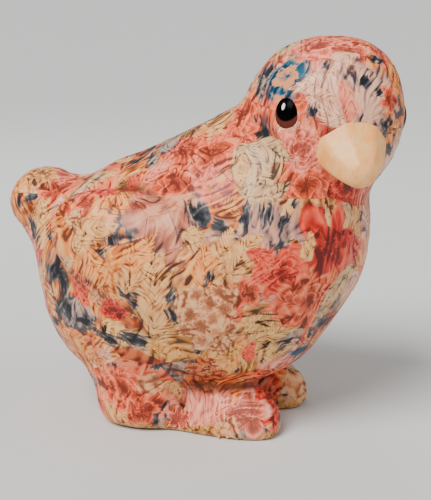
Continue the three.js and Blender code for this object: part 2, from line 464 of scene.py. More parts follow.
def seen_at(px, py):
    for inset in range(INSETS):
        share = inset / INSET_PARTS
        origin, aim = photo_ray(px + share * (PHOTO[0] / 2 - px), py + share * (PHOTO[1] / 2 - py))
        hit = search.ray_cast(origin / MM, aim)[0]
        if hit is not None:
            return np.array(hit)
    raise ValueError(f"nothing of the figure shows near pixel {px}, {py}")


def facing_near(spot, reach):
    near = np.sum((centres - spot) ** 2, axis=1) < reach * reach
    mean = facings[near].sum(axis=0)
    return mean / np.linalg.norm(mean)


print("corners:", len(corners))

# %% [markdown]
# Colours of the print, as a painter would mix them: for each ink a dark, a middle and a light tone.
# They are given as screen values from 0 to 255 and turned into light values once, here.

# %% Inks
INK_STRENGTH = 1.38
INK_DEPTH = 1.12
LUMA = np.array((0.2126, 0.7152, 0.0722))
SCREEN = {"knee": 0.04045, "slope": 12.92, "offset": 0.055, "power": 2.4}
LEAST_LIGHT = 0.002


def light_of(red, green, blue, strength=INK_STRENGTH):
    shares = np.array((red, green, blue)) / 255
    curved = ((shares + SCREEN["offset"]) / (1 + SCREEN["offset"])) ** SCREEN["power"]
    linear = np.where(shares <= SCREEN["knee"], shares / SCREEN["slope"], curved)
    grey = linear @ LUMA
    return np.clip(grey + (linear - grey) * strength, LEAST_LIGHT, 1) ** INK_DEPTH


INKS = {
    "coral": ((116, 60, 50), (217, 117, 97), (235, 160, 135)),
    "red": ((98, 42, 40), (195, 83, 75), (222, 130, 112)),
    "pink": ((142, 80, 71), (223, 132, 116), (239, 177, 157)),
    "shell": ((150, 92, 82), (224, 147, 131), (242, 190, 173)),
    "rosy": ((142, 106, 92), (220, 170, 148), (242, 206, 186)),
    "cream": ((84, 60, 48), (206, 153, 116), (234, 194, 154)),
    "peach": ((112, 68, 52), (214, 138, 98), (238, 184, 140)),
    "ochre": ((94, 70, 50), (198, 146, 102), (228, 188, 144)),
    "slate": ((42, 43, 46), (86, 86, 89), (188, 164, 150)),
    "lavender": ((72, 72, 80), (198, 158, 144), (234, 194, 172)),
    "mauve": ((84, 60, 58), (192, 132, 112), (224, 174, 150)),
    "teal": ((30, 44, 56), (56, 104, 124), (214, 160, 128)),
    "grey": ((84, 74, 64), (194, 160, 131), (222, 192, 160)),
    "brown": ((78, 38, 30), (148, 76, 58), (204, 128, 98)),
    "stripe": ((28, 26, 28), (192, 148, 110), (234, 196, 154)),
    "blossom": ((138, 92, 72), (204, 150, 122), (228, 190, 158)),
}
TONES = {name: [light_of(*tone) for tone in ink] for name, ink in INKS.items()}
TONE_NAMES = ("dark", "mid", "light")
print("inks:", len(INKS))

# %% [markdown]
# Scraps of paper. Each scrap owns the skin nearest to its middle, so two neighbours meet along a
# straight cut, as scissored paper does. The ones in view take one of the inks above, chosen for
# that part of the figure, and the rest are drawn at random from the same paper.

# %% Scraps
SEED = 7
rng = np.random.default_rng(SEED)
GROUNDS = [
    (300, 44, "pink"), (345, 50, "pink"), (385, 66, "peach"), (262, 88, "coral"), (340, 80, "rosy"),
    (372, 92, "lavender"), (395, 110, "peach"), (305, 128, "pink"), (250, 118, "coral"),
    (388, 145, "peach"), (228, 140, "coral"), (262, 168, "cream"), (300, 185, "coral"), (350, 194, "coral"),
    (190, 160, "coral"), (140, 168, "peach"), (165, 195, "pink"), (100, 180, "coral"), (60, 172, "coral"),
    (30, 182, "cream"), (40, 214, "cream"), (25, 205, "peach"), (85, 212, "peach"), (60, 245, "peach"),
    (120, 225, "peach"), (172, 232, "mauve"), (220, 212, "peach"), (262, 226, "lavender"),
    (300, 212, "cream"), (345, 212, "cream"), (362, 240, "peach"), (330, 252, "peach"), (225, 258, "cream"),
    (282, 272, "coral"), (305, 310, "red"), (345, 290, "cream"), (335, 318, "brown"), (180, 265, "cream"),
    (130, 262, "peach"), (90, 275, "peach"), (55, 282, "peach"), (75, 320, "peach"), (110, 300, "peach"),
    (150, 300, "ochre"), (205, 312, "peach"), (255, 330, "cream"), (285, 345, "slate"), (225, 358, "ochre"),
    (185, 340, "ochre"), (130, 335, "brown"), (95, 350, "peach"), (70, 340, "peach"), (200, 375, "brown"),
    (120, 378, "coral"), (112, 405, "coral"), (150, 395, "coral"), (175, 415, "pink"), (210, 412, "pink"),
    (255, 405, "pink"), (240, 432, "coral"), (298, 385, "grey"), (270, 375, "red"), (240, 385, "coral"),
]
HIDDEN_SCRAPS = 90
GROUND_SHARES = {
    "peach": 5, "cream": 5, "coral": 7, "pink": 4, "red": 2, "ochre": 1, "lavender": 3, "brown": 1,
}
CLEAR = 13
SCRAP_REACH = 4
GRAIN_WAY = np.array((0.0, 0.55, -1.0))
GRAIN_SPREAD = 0.65
CHUNK = 4000


def drawn(shares):
    names = list(shares)
    weights = np.array([shares[name] for name in names], float)
    return names[rng.choice(len(names), p=weights / weights.sum())]


seen_scraps = [(seen_at(px, py), ink) for px, py, ink in GROUNDS]
scraps = list(seen_scraps)
seen_spots = np.array([spot for spot, _ in seen_scraps])
while len(scraps) < len(GROUNDS) + HIDDEN_SCRAPS:
    spot = centres[rng.integers(len(centres))]
    if np.min(np.linalg.norm(seen_spots - spot, axis=1)) > CLEAR:
        scraps.append((spot, drawn(GROUND_SHARES)))
scrap_spots = np.array([spot for spot, _ in scraps])
scrap_inks = [ink for _, ink in scraps]
scrap_normals = np.array([facing_near(spot, SCRAP_REACH) for spot in scrap_spots])
grain_ways = GRAIN_WAY + rng.normal(scale=GRAIN_SPREAD, size=scrap_spots.shape)
grain_ways -= scrap_normals * np.sum(grain_ways * scrap_normals, axis=1, keepdims=True)
scrap_grain = grain_ways / np.linalg.norm(grain_ways, axis=1, keepdims=True)


def two_nearest(spots):
    first = np.zeros(len(spots), int)
    second = np.zeros(len(spots), int)
    for start in range(0, len(spots), CHUNK):
        part = slice(start, start + CHUNK)
        apart = ((spots[part, None, :] - scrap_spots[None, :, :]) ** 2).sum(axis=2)
        pair = np.argpartition(apart, 1, axis=1)[:, :2]
        gaps = np.take_along_axis(apart, pair, 1)
        pair = np.where(gaps[:, :1] <= gaps[:, 1:], pair, pair[:, ::-1])
        first[part] = pair[:, 0]
        second[part] = pair[:, 1]
    return first, second


def edge_distance(spots, first, second):
    a, b = scrap_spots[first], scrap_spots[second]
    gap = ((spots - b) ** 2).sum(axis=1) - ((spots - a) ** 2).sum(axis=1)
    return gap / (2 * np.linalg.norm(a - b, axis=1))


face_first, face_second = two_nearest(centres)
corner_edge = edge_distance(corners, face_first[corner_faces], face_second[corner_faces])
print("scraps:", len(scraps))

# %% [markdown]
# One scrap always lies over its neighbour, so its rim stands a paper's thickness proud. The skin's
# points near a rim are lifted on the upper side, which makes the step real.

# %% Paper steps
STEP = {"height": 0.16, "reach": 3.0, "clear": 0.5, "fade": 4}
point_first, point_second = two_nearest(points)
point_edge = np.abs(edge_distance(points, point_first, point_second))
on_top = point_first > point_second
lift = np.where(on_top, STEP["height"] * np.clip(1 - point_edge / STEP["reach"], 0, 1), 0)
lift *= np.clip((points[:, 2] - STEP["clear"]) / STEP["fade"], 0, 1)
normals = vectors_of(body_mesh.vertices, "normal")
points = points + normals * lift[:, None]
points[:, 2] = np.maximum(points[:, 2], 0)
body_mesh.vertices.foreach_set("co", (points * MM).astype(np.float32).ravel())
body_mesh.update()
corners = points[corner_points]
print("lifted points:", int(np.sum(lift > 0)))

# %% [markdown]
# Printed motifs. Each flower or leaf lies at a spot of the skin with a radius in millimetres and a turn
# from upright. Those in view are listed one by one, near a place where the photograph has one of that
# colour and size. Every face keeps the top few motifs that reach it, with its corners' places in each
# motif's own flat frame. The finish later draws the petals from those places, so the print stays sharp
# however close the camera comes.

# %% Motifs in view
ROSE, DARK_HEART, LIGHT_HEART, LEAF, SMUDGE, FAN, PEBBLES = range(7)
KINDS = {
    "coral rose": (ROSE, 7, "coral"),
    "red rose": (ROSE, 7, "red"),
    "pink rose": (ROSE, 6, "pink"),
    "cream rose": (ROSE, 7, "cream"),
    "red lily": (DARK_HEART, 6, "red"),
    "coral lily": (DARK_HEART, 5, "coral"),
    "pink blossom": (DARK_HEART, 5, "pink"),
    "cream blossom": (DARK_HEART, 5, "cream"),
    "brown blossom": (DARK_HEART, 6, "brown"),
    "pale blossom": (DARK_HEART, 5, "blossom"),
    "teal flower": (LIGHT_HEART, 5, "teal"),
    "cream leaf": (LEAF, 7, "cream"),
    "rosy leaf": (LEAF, 6, "rosy"),
    "grey leaf": (LEAF, 5, "grey"),
    "ochre leaf": (LEAF, 6, "ochre"),
    "peach leaf": (LEAF, 5, "peach"),
    "pink petal": (LEAF, 3, "pink"),
    "red petal": (LEAF, 4, "red"),
    "striped leaf": (LEAF, 9, "stripe"),
    "slate leaf": (LEAF, 4, "slate"),
    "slate smudge": (SMUDGE, 5, "slate"),
    "teal smudge": (SMUDGE, 5, "teal"),
    "lavender fan": (FAN, 6, "lavender"),
    "mauve fan": (FAN, 6, "mauve"),
    "slate fan": (FAN, 5, "slate"),
    "pink shell": (FAN, 3, "shell"),
    "shell blossom": (DARK_HEART, 5, "shell"),
    "cream pebbles": (PEBBLES, 5.0, "blossom"),
    "brown pebbles": (PEBBLES, 4.5, "brown"),
    "cream lobes": (PEBBLES, 1.5, "blossom"),
}
IN_VIEW = [
    ("coral rose", 226, 192, 9, 0), ("peach leaf", 236, 204, 6, 60), ("pink rose", 318, 46, 10, 0),
    ("pink blossom", 350, 52, 8, 40), ("slate smudge", 377, 60, 3.8, 70),
    ("slate smudge", 266, 74, 8, -25), ("slate leaf", 261, 88, 5, 160), ("teal flower", 286, 76, 8.5, 10),
    ("slate smudge", 327, 64, 2.6, 20), ("rosy leaf", 345, 66, 7, 200), ("rosy leaf", 318, 90, 9, -75),
    ("rosy leaf", 328, 112, 8, -60), ("pink petal", 349, 104, 7.5, 170),
    ("slate smudge", 312, 112, 3.0, 200), ("lavender fan", 372, 86, 9.5, 20),
    ("slate smudge", 366, 80, 3.6, 30), ("slate smudge", 380, 92, 3.2, 60),
    ("lavender fan", 376, 120, 5.5, 80), ("slate smudge", 386, 124, 4.4, 20),
    ("coral lily", 390, 98, 5, 0), ("slate smudge", 390, 150, 4, 120), ("peach leaf", 394, 76, 6, 10),
    ("slate smudge", 262, 132, 7.5, 165), ("pink blossom", 288, 142, 3.4, 0),
    ("pink rose", 302, 150, 8, 0), ("coral lily", 244, 112, 7, 20), ("coral rose", 238, 136, 8, -30),
    ("grey leaf", 254, 172, 11, 155), ("grey leaf", 272, 152, 7.5, 110), ("ochre leaf", 240, 172, 6, 170),
    ("grey leaf", 266, 192, 8, 80), ("coral rose", 176, 180, 14, 0), ("coral lily", 186, 150, 9, 40),
    ("red petal", 132, 188, 7, 10), ("pink rose", 206, 164, 8, 0), ("pink blossom", 138, 206, 6.5, 30),
    ("coral lily", 214, 150, 8, 0), ("pink petal", 158, 168, 7, 40), ("mauve fan", 172, 230, 15, 205),
    ("slate smudge", 199, 218, 8, 165), ("slate smudge", 120, 230, 6.5, -20),
    ("slate smudge", 110, 240, 4.6, 0), ("cream pebbles", 82, 220, 6.5, 20),
    ("coral lily", 86, 203, 5, 0), ("cream leaf", 92, 234, 9, 62), ("peach leaf", 112, 204, 9, 50),
    ("slate smudge", 95, 256, 5.2, 60), ("slate smudge", 52, 270, 9.2, 190),
    ("slate smudge", 64, 288, 5.7, 160), ("slate fan", 74, 316, 8.5, 195),
    ("slate smudge", 66, 306, 6.9, 170), ("slate smudge", 86, 324, 5.7, 110),
    ("cream rose", 41, 174, 7.5, 0), ("coral lily", 58, 190, 7.5, 60), ("slate smudge", 19, 204, 3.4, 0),
    ("slate smudge", 33, 228, 5.2, 160), ("cream leaf", 42, 216, 7, 150), ("red rose", 113, 309, 5.4, 0),
    ("red petal", 80, 293, 5, 150), ("peach leaf", 100, 278, 10, 160), ("cream leaf", 152, 296, 15, 5),
    ("slate smudge", 126, 291, 5.3, 125), ("slate smudge", 132, 303, 4.1, 150),
    ("cream leaf", 128, 272, 8, 10), ("peach leaf", 140, 252, 8, 30),
    ("slate smudge", 174, 314, 5.2, 180), ("slate smudge", 172, 296, 3.4, 30),
    ("cream leaf", 204, 238, 8, 100), ("lavender fan", 268, 252, 16, -5),
    ("slate smudge", 280, 250, 5.4, 30), ("slate smudge", 246, 216, 4.6, 10),
    ("slate smudge", 268, 214, 4.4, 0), ("slate smudge", 224, 231, 5.6, 112),
    ("slate smudge", 285, 220, 3.6, 20), ("cream leaf", 222, 258, 11, 15),
    ("cream leaf", 244, 256, 9, 30), ("peach leaf", 205, 266, 8, 10), ("slate smudge", 210, 278, 3.4, 10),
    ("red lily", 330, 246, 14, 15), ("cream leaf", 309, 246, 5, 10), ("red petal", 352, 252, 8, 30),
    ("cream blossom", 332, 207, 1.7, 0), ("cream leaf", 358, 224, 6, 170), ("red rose", 282, 274, 9, 0),
    ("coral rose", 304, 302, 12.5, 0), ("grey leaf", 338, 288, 9, 205), ("grey leaf", 322, 312, 4, 230),
    ("red petal", 262, 262, 6, 140), ("slate smudge", 250, 300, 5.2, 60),
    ("striped leaf", 268, 338, 10, 62), ("striped leaf", 258, 322, 6, 40),
    ("striped leaf", 274, 352, 8, 75), ("slate smudge", 286, 342, 4.6, 70),
    ("slate smudge", 322, 322, 5.7, 55), ("teal smudge", 296, 352, 5.7, 60),
    ("red petal", 238, 306, 6, 20), ("coral lily", 246, 292, 6, 0), ("peach leaf", 238, 352, 6, 20),
    ("ochre leaf", 220, 356, 7, 60), ("red petal", 250, 352, 4.5, 10), ("striped leaf", 120, 336, 8, 118),
    ("striped leaf", 150, 344, 9, 112), ("slate smudge", 108, 338, 5.2, 120),
    ("slate smudge", 136, 340, 6.9, 112), ("peach leaf", 84, 350, 10, 150),
    ("ochre leaf", 165, 352, 6, 100), ("brown pebbles", 203, 374, 10.5, 0),
    ("coral rose", 119, 386, 10, 0), ("cream lobes", 149, 384, 5.5, 20), ("cream leaf", 174, 388, 5, 140),
    ("pink shell", 204, 412, 8, 40), ("shell blossom", 246, 414, 11, 20),
    ("cream lobes", 228, 426, 4.5, 0), ("coral lily", 140, 410, 7, 0), ("pink blossom", 178, 418, 5, 0),
    ("coral rose", 262, 378, 6, 0), ("cream lobes", 296, 384, 6.5, 0), ("pink petal", 222, 404, 5, 30),
]
CUT_OFF = [
    ("coral rose", 305, 186, 12, 20), ("red rose", 344, 190, 10, 60), ("slate smudge", 318, 211, 5.3, 85),
    ("grey leaf", 344, 222, 8, 185), ("slate smudge", 294, 213, 4.4, 20), ("grey leaf", 326, 216, 7, 100),
]
CLUSTER = [("cream pebbles", 205, 312, 12.5, 0), ("cream pebbles", 214, 338, 8, 30)]
BLOSSOM_PATCH = {"middle": (208, 319), "reach": (27, 31), "count": 11, "radius": (3.0, 3.9)}
SEEDS_PATCH = {"middle": (204, 372), "reach": (26, 11), "count": 12, "radius": (0.8, 1.4)}


def patch(kind, plan):
    found = []
    for k in range(plan["count"]):
        angle = k * math.pi * (3 - math.sqrt(5))
        share = math.sqrt((k + 0.5) / plan["count"])
        px = plan["middle"][0] + plan["reach"][0] * share * math.cos(angle)
        py = plan["middle"][1] + plan["reach"][1] * share * math.sin(angle)
        found.append((kind, px, py, rng.uniform(*plan["radius"]), rng.uniform(0, 360)))
    return found


print("kinds:", len(KINDS), "set in view:", len(IN_VIEW) + len(CUT_OFF) + len(CLUSTER))

# %% [markdown]
# Behind the placed motifs comes a loose scatter of the same kinds, cut off at their scrap's rim. It
# also covers the sides that the photograph does not show.

# %% All motifs, from the top one down
FILL = 620
FILL_SHARES = {
    "coral rose": 6, "red rose": 2, "pink rose": 2, "cream rose": 2, "coral lily": 5, "pink blossom": 3,
    "cream blossom": 2, "brown blossom": 1, "cream leaf": 6, "rosy leaf": 3, "grey leaf": 4,
    "ochre leaf": 2, "peach leaf": 4, "pink petal": 3, "red petal": 4, "striped leaf": 2,
    "lavender fan": 5, "slate fan": 3, "slate smudge": 16, "slate leaf": 1, "pink shell": 1,
    "cream pebbles": 3, "teal flower": 0.6,
}
FILL_RADII = {
    ROSE: (5, 11), DARK_HEART: (3, 8), LIGHT_HEART: (5, 8), LEAF: (4, 10), SMUDGE: (2.5, 6), FAN: (6, 11),
    PEBBLES: (5, 10),
}
FACING_REACH = {"least": 3.0, "share": 0.5}
FORM_SEEDS = 20
picture_up = np.array(CAMERA_TURN @ Vector((0, 1, 0)))


def motif(kind, spot, radius, upright, turn_deg, scrap):
    normal = facing_near(spot, max(FACING_REACH["least"], FACING_REACH["share"] * radius))
    up = upright - normal * np.dot(upright, normal)
    up /= np.linalg.norm(up)
    side = np.cross(up, normal)
    turn = math.radians(turn_deg)
    form, count, ink = KINDS[kind]
    return {
        "spot": spot,
        "normal": normal,
        "radius": radius,
        "up": up * math.cos(turn) + side * math.sin(turn),
        "side": side * math.cos(turn) - up * math.sin(turn),
        "form": (form, count, rng.uniform(0, FORM_SEEDS)),
        "tones": TONES[ink],
        "scrap": scrap,
    }


def in_view(rows):
    return [motif(kind, seen_at(px, py), r, picture_up, turn, None) for kind, px, py, r, turn in rows]


motifs = in_view(patch("cream blossom", SEEDS_PATCH) + CLUSTER + IN_VIEW[::-1])
for kind, px, py, radius, turn in CUT_OFF:
    spot = seen_at(px, py)
    own = int(np.argmin(np.linalg.norm(scrap_spots - spot, axis=1)))
    motifs.append(motif(kind, spot, radius, picture_up, turn, own))
for _ in range(FILL):
    kind = drawn(FILL_SHARES)
    at = rng.integers(len(centres))
    radius = rng.uniform(*FILL_RADII[KINDS[kind][0]])
    motifs.append(motif(kind, centres[at], radius, rng.normal(size=3), 0, face_first[at]))
motifs = in_view(patch("pale blossom", BLOSSOM_PATCH)) + motifs
print("motifs:", len(motifs))

# %% [markdown]
# The sorting itself: from the top motif down, each face takes the motif into its next free layer. A
# motif of the loose scatter only counts where the face can belong to its own scrap.

# %% Layers on the faces
LAYERS = 4
SPREAD = 1.25
FACING_LEAST = 0.15
layer_of = np.full((LAYERS, len(centres)), -1)
taken = np.zeros(len(centres), int)
for number, m in enumerate(motifs):
    near = np.sum((centres - m["spot"]) ** 2, axis=1) < (SPREAD * m["radius"]) ** 2
    near &= facings @ m["normal"] > FACING_LEAST
    near &= taken < LAYERS
    if m["scrap"] is not None:
        near &= (face_first == m["scrap"]) | (face_second == m["scrap"])
    faces = np.flatnonzero(near)
    layer_of[taken[faces], faces] = number
    taken[faces] += 1
print("faces with every layer taken:", int(np.sum(taken == LAYERS)), "of", len(centres))

# %% [markdown]
# Attributes carry the layers to the finish: the place in the motif on every corner, since it changes
# across a face, and the form and the tones on the face. The third number of a place says how far the
# corner lies inside the motif's own scrap, so that the scatter is cut along the scrap's rim.

# %% Attributes of the print
FAR = 9.0
LISTED = ("spot", "normal", "radius", "up", "side", "form", "tones")


def keep(name, domain, kind, values):
    made = body_mesh.attributes.new(name, kind, domain)
    field = "vector" if kind == "FLOAT_VECTOR" else "value"
    made.data.foreach_set(field, np.asarray(values, np.float32).ravel())


def keep_tones(start, tones):
    for tone, name in enumerate(TONE_NAMES):
        keep(f"{start} {name}", "FACE", "FLOAT_VECTOR", tones[:, tone])


table = {key: np.array([m[key] for m in motifs], float) for key in LISTED}
table["scrap"] = np.array([-1 if m["scrap"] is None else m["scrap"] for m in motifs])
for layer in range(LAYERS):
    number = layer_of[layer]
    used = number >= 0
    pick = np.where(used, number, 0)
    at = pick[corner_faces]
    off = corners - table["spot"][at]
    length = np.linalg.norm(off, axis=1)
    u = np.sum(off * table["side"][at], axis=1)
    v = np.sum(off * table["up"][at], axis=1)
    stretch = length / np.maximum(np.hypot(u, v), TINY) / table["radius"][at]
    own = table["scrap"][at]
    clip = np.where(own == face_first[corner_faces], corner_edge, -corner_edge)
    clip = np.where(own < 0, FAR, clip)
    clip = np.where(used[corner_faces], clip, -FAR)
    spread = np.stack([u * stretch, v * stretch, clip], axis=1)
    keep(f"layer {layer} place", "CORNER", "FLOAT_VECTOR", spread)
    keep(f"layer {layer} form", "FACE", "FLOAT_VECTOR", table["form"][pick])
    keep_tones(f"layer {layer}", table["tones"][pick])

scrap_tones = np.array([TONES[ink] for ink in scrap_inks])
keep("scrap edge", "CORNER", "FLOAT", corner_edge)
for side_name, owner in (("over", face_first), ("under", face_second)):
    keep(f"{side_name} grain", "FACE", "FLOAT_VECTOR", scrap_grain[owner])
    keep_tones(side_name, scrap_tones[owner])
print("attributes:", len(body_mesh.attributes))

# %% [markdown]
# Hollows catch old varnish and dust. How hollow a point is comes from smoothing the skin again and
# again and measuring how far each point then lies inside it. The finish darkens the hollows by it,
# partly as dirt and partly as painted shade in the creases.

# %% Hollows
HOLLOW_ROUNDS = 24
HOLLOW_SOFTEN = 3
PULL = 0.5
DEEP_HOLLOW = 0.45

edges = np.zeros(len(body_mesh.edges) * 2, np.int32)
body_mesh.edges.foreach_get("vertices", edges)
edges = edges.reshape(-1, 2)
ends = np.concatenate([edges[:, 0], edges[:, 1]])
others = np.concatenate([edges[:, 1], edges[:, 0]])
neighbours = np.bincount(ends, minlength=len(points))[:, None]


def smoothed(values, rounds):
    for _ in range(rounds):
        sums = [np.bincount(ends, row, len(points)) for row in values[others].T]
        values = (1 - PULL) * values + PULL * np.stack(sums, 1) / neighbours
    return values


sunk = np.sum((smoothed(points, HOLLOW_ROUNDS) - points) * normals, axis=1)
hollow = smoothed(np.clip(sunk / DEEP_HOLLOW, 0, 1)[:, None], HOLLOW_SOFTEN)[:, 0]
keep("hollow", "POINT", "FLOAT", hollow)
print("deepest hollow:", round(float(sunk.max()), 2), "mm")

# %% [markdown]
# One painter draws any motif. It is a shader group with a motif's place, form and three tones as
# inputs. Each form works out a tone value, from dark to light, and how far it covers what lies below.
# Streaks of fine noise run along petals and veins, as the strokes of the print do, and they also
# fray the edges, so that one motif melts into the next as it does on the real paper.

# %% Motif painter: flowers
EDGE = 0.05
LEAST_RIM = 0.01
CENTRE_ROOM = 0.06
RAYS = {"round": 7.5, "outward": 2.2, "scale": 1.0}
PETAL = {
    "fray": 0.24, "gap": -0.34, "gap power": 5, "fade": 0.5, "fade power": 1.6, "streak": 1.0,
    "rim at": 0.86, "rim width": 0.11, "rim light": 0.5,
}
OUTER = {"reach": 0.98, "lift": 0.07}
HEART = {"petals": 3, "twist": 1.4, "lift": 0.05}
RING_PHASES = {"inner": 1.7, "heart": 2.9}
BY_FLOWER = {
    "notch": {"dark heart": -0.55, "light heart": -0.3, "rose": -0.3},
    "twist": {"dark heart": 0.25, "light heart": 0.25, "rose": 0.9},
    "inner reach": {"dark heart": 0.26, "light heart": 0.55, "rose": 0.7},
    "inner lift": {"dark heart": -0.3, "light heart": 0.9, "rose": 0.02},
    "heart reach": {"dark heart": 0.08, "light heart": 0.08, "rose": 0.42},
}


def tone_of(w, value, dark, mid, light):
    low = w.mix(w.times(value, 2, clamp=True), dark, mid)
    return w.mix(w.scaled(value, 2, -1, clamp=True), low, light)


def petal_ring(w, polar, count, phase, reach, twist, lift, notch):
    r, turn, log_r, streak = polar
    swing = w.total((turn, count), (log_r, twist), (phase, 1))
    across = w.scaled(w.math("FRACT", swing), 2, -1)
    curved = w.scaled(w.times(across, across), notch, 1)
    rim = w.times(w.scaled(w.centred(streak), PETAL["fray"], curved), reach)
    cover = w.ramp(w.minus(rim, r), -EDGE, EDGE)
    depth = w.math("DIVIDE", r, w.math("MAXIMUM", rim, LEAST_RIM))
    gap = w.math("POWER", w.math("ABSOLUTE", across), PETAL["gap power"])
    from_rim = w.math("ABSOLUTE", w.minus(depth, PETAL["rim at"]))
    bright_rim = w.ramp(from_rim, 0, PETAL["rim width"], PETAL["rim light"], 0)
    value = w.total(
        (w.math("POWER", depth, PETAL["fade power"]), PETAL["fade"]),
        (gap, PETAL["gap"]),
        (w.centred(streak), PETAL["streak"]),
        (bright_rim, 1),
    )
    return w.plus(value, lift), cover


def flower(w, u, v, count, seed, is_rose, is_light):
    def asked(name):
        given = BY_FLOWER[name]
        open_flower = w.mix_value(is_light, given["dark heart"], given["light heart"])
        return w.mix_value(is_rose, open_flower, given["rose"])

    r = w.vec("LENGTH", w.join(u, v, 0.0))
    turn = w.math("DIVIDE", w.math("ARCTAN2", v, u), 2 * math.pi)
    log_r = w.math("LOGARITHM", w.plus(r, CENTRE_ROOM), math.e)
    unit = w.vec("SCALE", w.vec("NORMALIZE", w.join(u, v, 0.0)), RAYS["round"])
    rays = w.vec("ADD", unit, w.join(seed, 0.0, w.times(r, RAYS["outward"])))
    polar = (r, turn, log_r, w.noise(rays, RAYS["scale"], detail=1.0))
    twist = asked("twist")
    notch = asked("notch")
    value, cover = petal_ring(w, polar, count, seed, OUTER["reach"], twist, OUTER["lift"], notch)
    phase = w.times(seed, RING_PHASES["inner"])
    reach = asked("inner reach")
    inner, over = petal_ring(w, polar, count, phase, reach, twist, asked("inner lift"), notch)
    value = w.mix_value(over, value, inner)
    phase = w.times(seed, RING_PHASES["heart"])
    reach = asked("heart reach")
    heart, over = petal_ring(w, polar, HEART["petals"], phase, reach, HEART["twist"], HEART["lift"], notch)
    return w.mix_value(over, value, heart), cover


# %% [markdown]
# Leaves are a bent lens with scalloped edges. Side veins slant up from a middle rib, and both are broken
# by the strokes of the print, so that they look drawn and not ruled.

# %% Motif painter: leaves
LEAF_FORM = {
    "sway": 0.8, "sway draw": 3.7, "sway from": 0.4, "lens power": 0.7, "half": 0.52, "taper": -0.14,
    "slant": -1.15, "scallop": -0.16, "fullness": 1.02, "fray": 0.4,
}
LEAF_FIBRES = {"along": 1.5, "across": 3, "scale": 1.3}
LEAF_TONE = {"edge": -0.5, "edge power": 5, "stroke": 1.3, "base": 0.82}
VEIN_BREAKS = (-0.12, 0.06, 1.0, 0.1)
VEIN = (0.55, 1.0, 0, 0.6)
RIB = (0.01, 0.06, 0.75, 0)


def leaf(w, u, v, count, seed):
    form = LEAF_FORM
    sway = w.times(w.centred(w.math("FRACT", w.times(seed, form["sway draw"]))), form["sway"])
    square = w.times(v, v)
    off = w.math("ABSOLUTE", w.scaled(sway, w.minus(square, form["sway from"]), u))
    lens = w.math("POWER", w.math("MAXIMUM", w.minus(1, square), 0), form["lens power"])
    half = w.times(lens, w.scaled(v, form["taper"], form["half"]))
    run = w.total((v, count), (off, w.times(count, form["slant"])), (seed, 1))
    crest = w.math("ABSOLUTE", w.scaled(w.math("FRACT", run), 2, -1))
    fibres = w.join(w.times(run, LEAF_FIBRES["along"]), w.times(off, LEAF_FIBRES["across"]), seed)
    strokes = w.centred(w.noise(fibres, LEAF_FIBRES["scale"], detail=1.0))
    scalloped = w.scaled(crest, form["scallop"], form["fullness"])
    half = w.total((half, scalloped), (w.times(strokes, lens), form["fray"]))
    cover = w.ramp(w.minus(half, off), -EDGE, EDGE)
    depth = w.math("DIVIDE", off, w.math("MAXIMUM", half, LEAST_RIM))
    broken = w.ramp(strokes, *VEIN_BREAKS)
    vein = w.times(w.ramp(crest, *VEIN), broken)
    rib = w.times(w.ramp(off, *RIB), broken)
    value = w.total(
        (w.math("POWER", depth, LEAF_TONE["edge power"]), LEAF_TONE["edge"]),
        (strokes, LEAF_TONE["stroke"]),
        (w.math("MAXIMUM", vein, rib), -1),
    )
    return w.plus(value, LEAF_TONE["base"]), cover


# %% [markdown]
# Smudges are the dark feathery blots between the flowers. Fans spread strokes from one point, and
# pebbles are the little petals of a blossom head.

# %% Motif painter: smudges, fans and pebbles
SMUDGE_FORM = {"strokes": 4.0, "scale": 1.2, "narrow": 1.6, "fray": 2.4}
SMUDGE_COVER = (-0.9, -0.55)
SMUDGE_TONE = (-0.85, -0.05, 0.75, -0.05)
FAN_FORM = {"reach": 0.5, "scale": 1.1, "fray": 0.9}
FAN_FRONT = (-0.95, -0.85)
FAN_SIDES = (-1.0, -0.85)
FAN_TONE = {"tip": -0.7, "tip power": 2.5, "stroke": 2.2, "base": 0.82}
PEBBLE_FORM = {"loose": 0.8, "scale": 3.0, "fray": 1.2, "stroke": 0.6}
PEBBLE_COVER = (-0.86, -0.74)
PEBBLE_DOME = (0.3, 0.66, 0.9, 0.02)


def smudge(w, u, v, _, seed):
    drawn_out = w.join(w.times(u, SMUDGE_FORM["strokes"]), v, seed)
    strokes = w.centred(w.noise(drawn_out, SMUDGE_FORM["scale"], detail=1.5))
    far = w.vec("LENGTH", w.join(w.times(u, SMUDGE_FORM["narrow"]), v, 0.0))
    inside = w.total((strokes, SMUDGE_FORM["fray"]), (far, -1))
    return w.ramp(inside, *SMUDGE_TONE), w.ramp(inside, *SMUDGE_COVER)


def fan(w, u, v, count, seed):
    lifted = w.plus(v, 1)
    far = w.times(w.vec("LENGTH", w.join(u, lifted, 0.0)), FAN_FORM["reach"])
    swing = w.math("ARCTAN2", u, lifted)
    rays = w.join(w.times(swing, count), far, seed)
    strokes = w.centred(w.noise(rays, FAN_FORM["scale"], detail=1.0))
    front = w.ramp(w.total((far, -1), (strokes, FAN_FORM["fray"])), *FAN_FRONT)
    sides = w.ramp(w.total((w.math("ABSOLUTE", swing), -1), (strokes, FAN_FORM["fray"])), *FAN_SIDES)
    tips = w.math("POWER", far, FAN_TONE["tip power"])
    value = w.total((tips, FAN_TONE["tip"]), (strokes, FAN_TONE["stroke"]))
    return w.plus(value, FAN_TONE["base"]), w.times(front, sides)


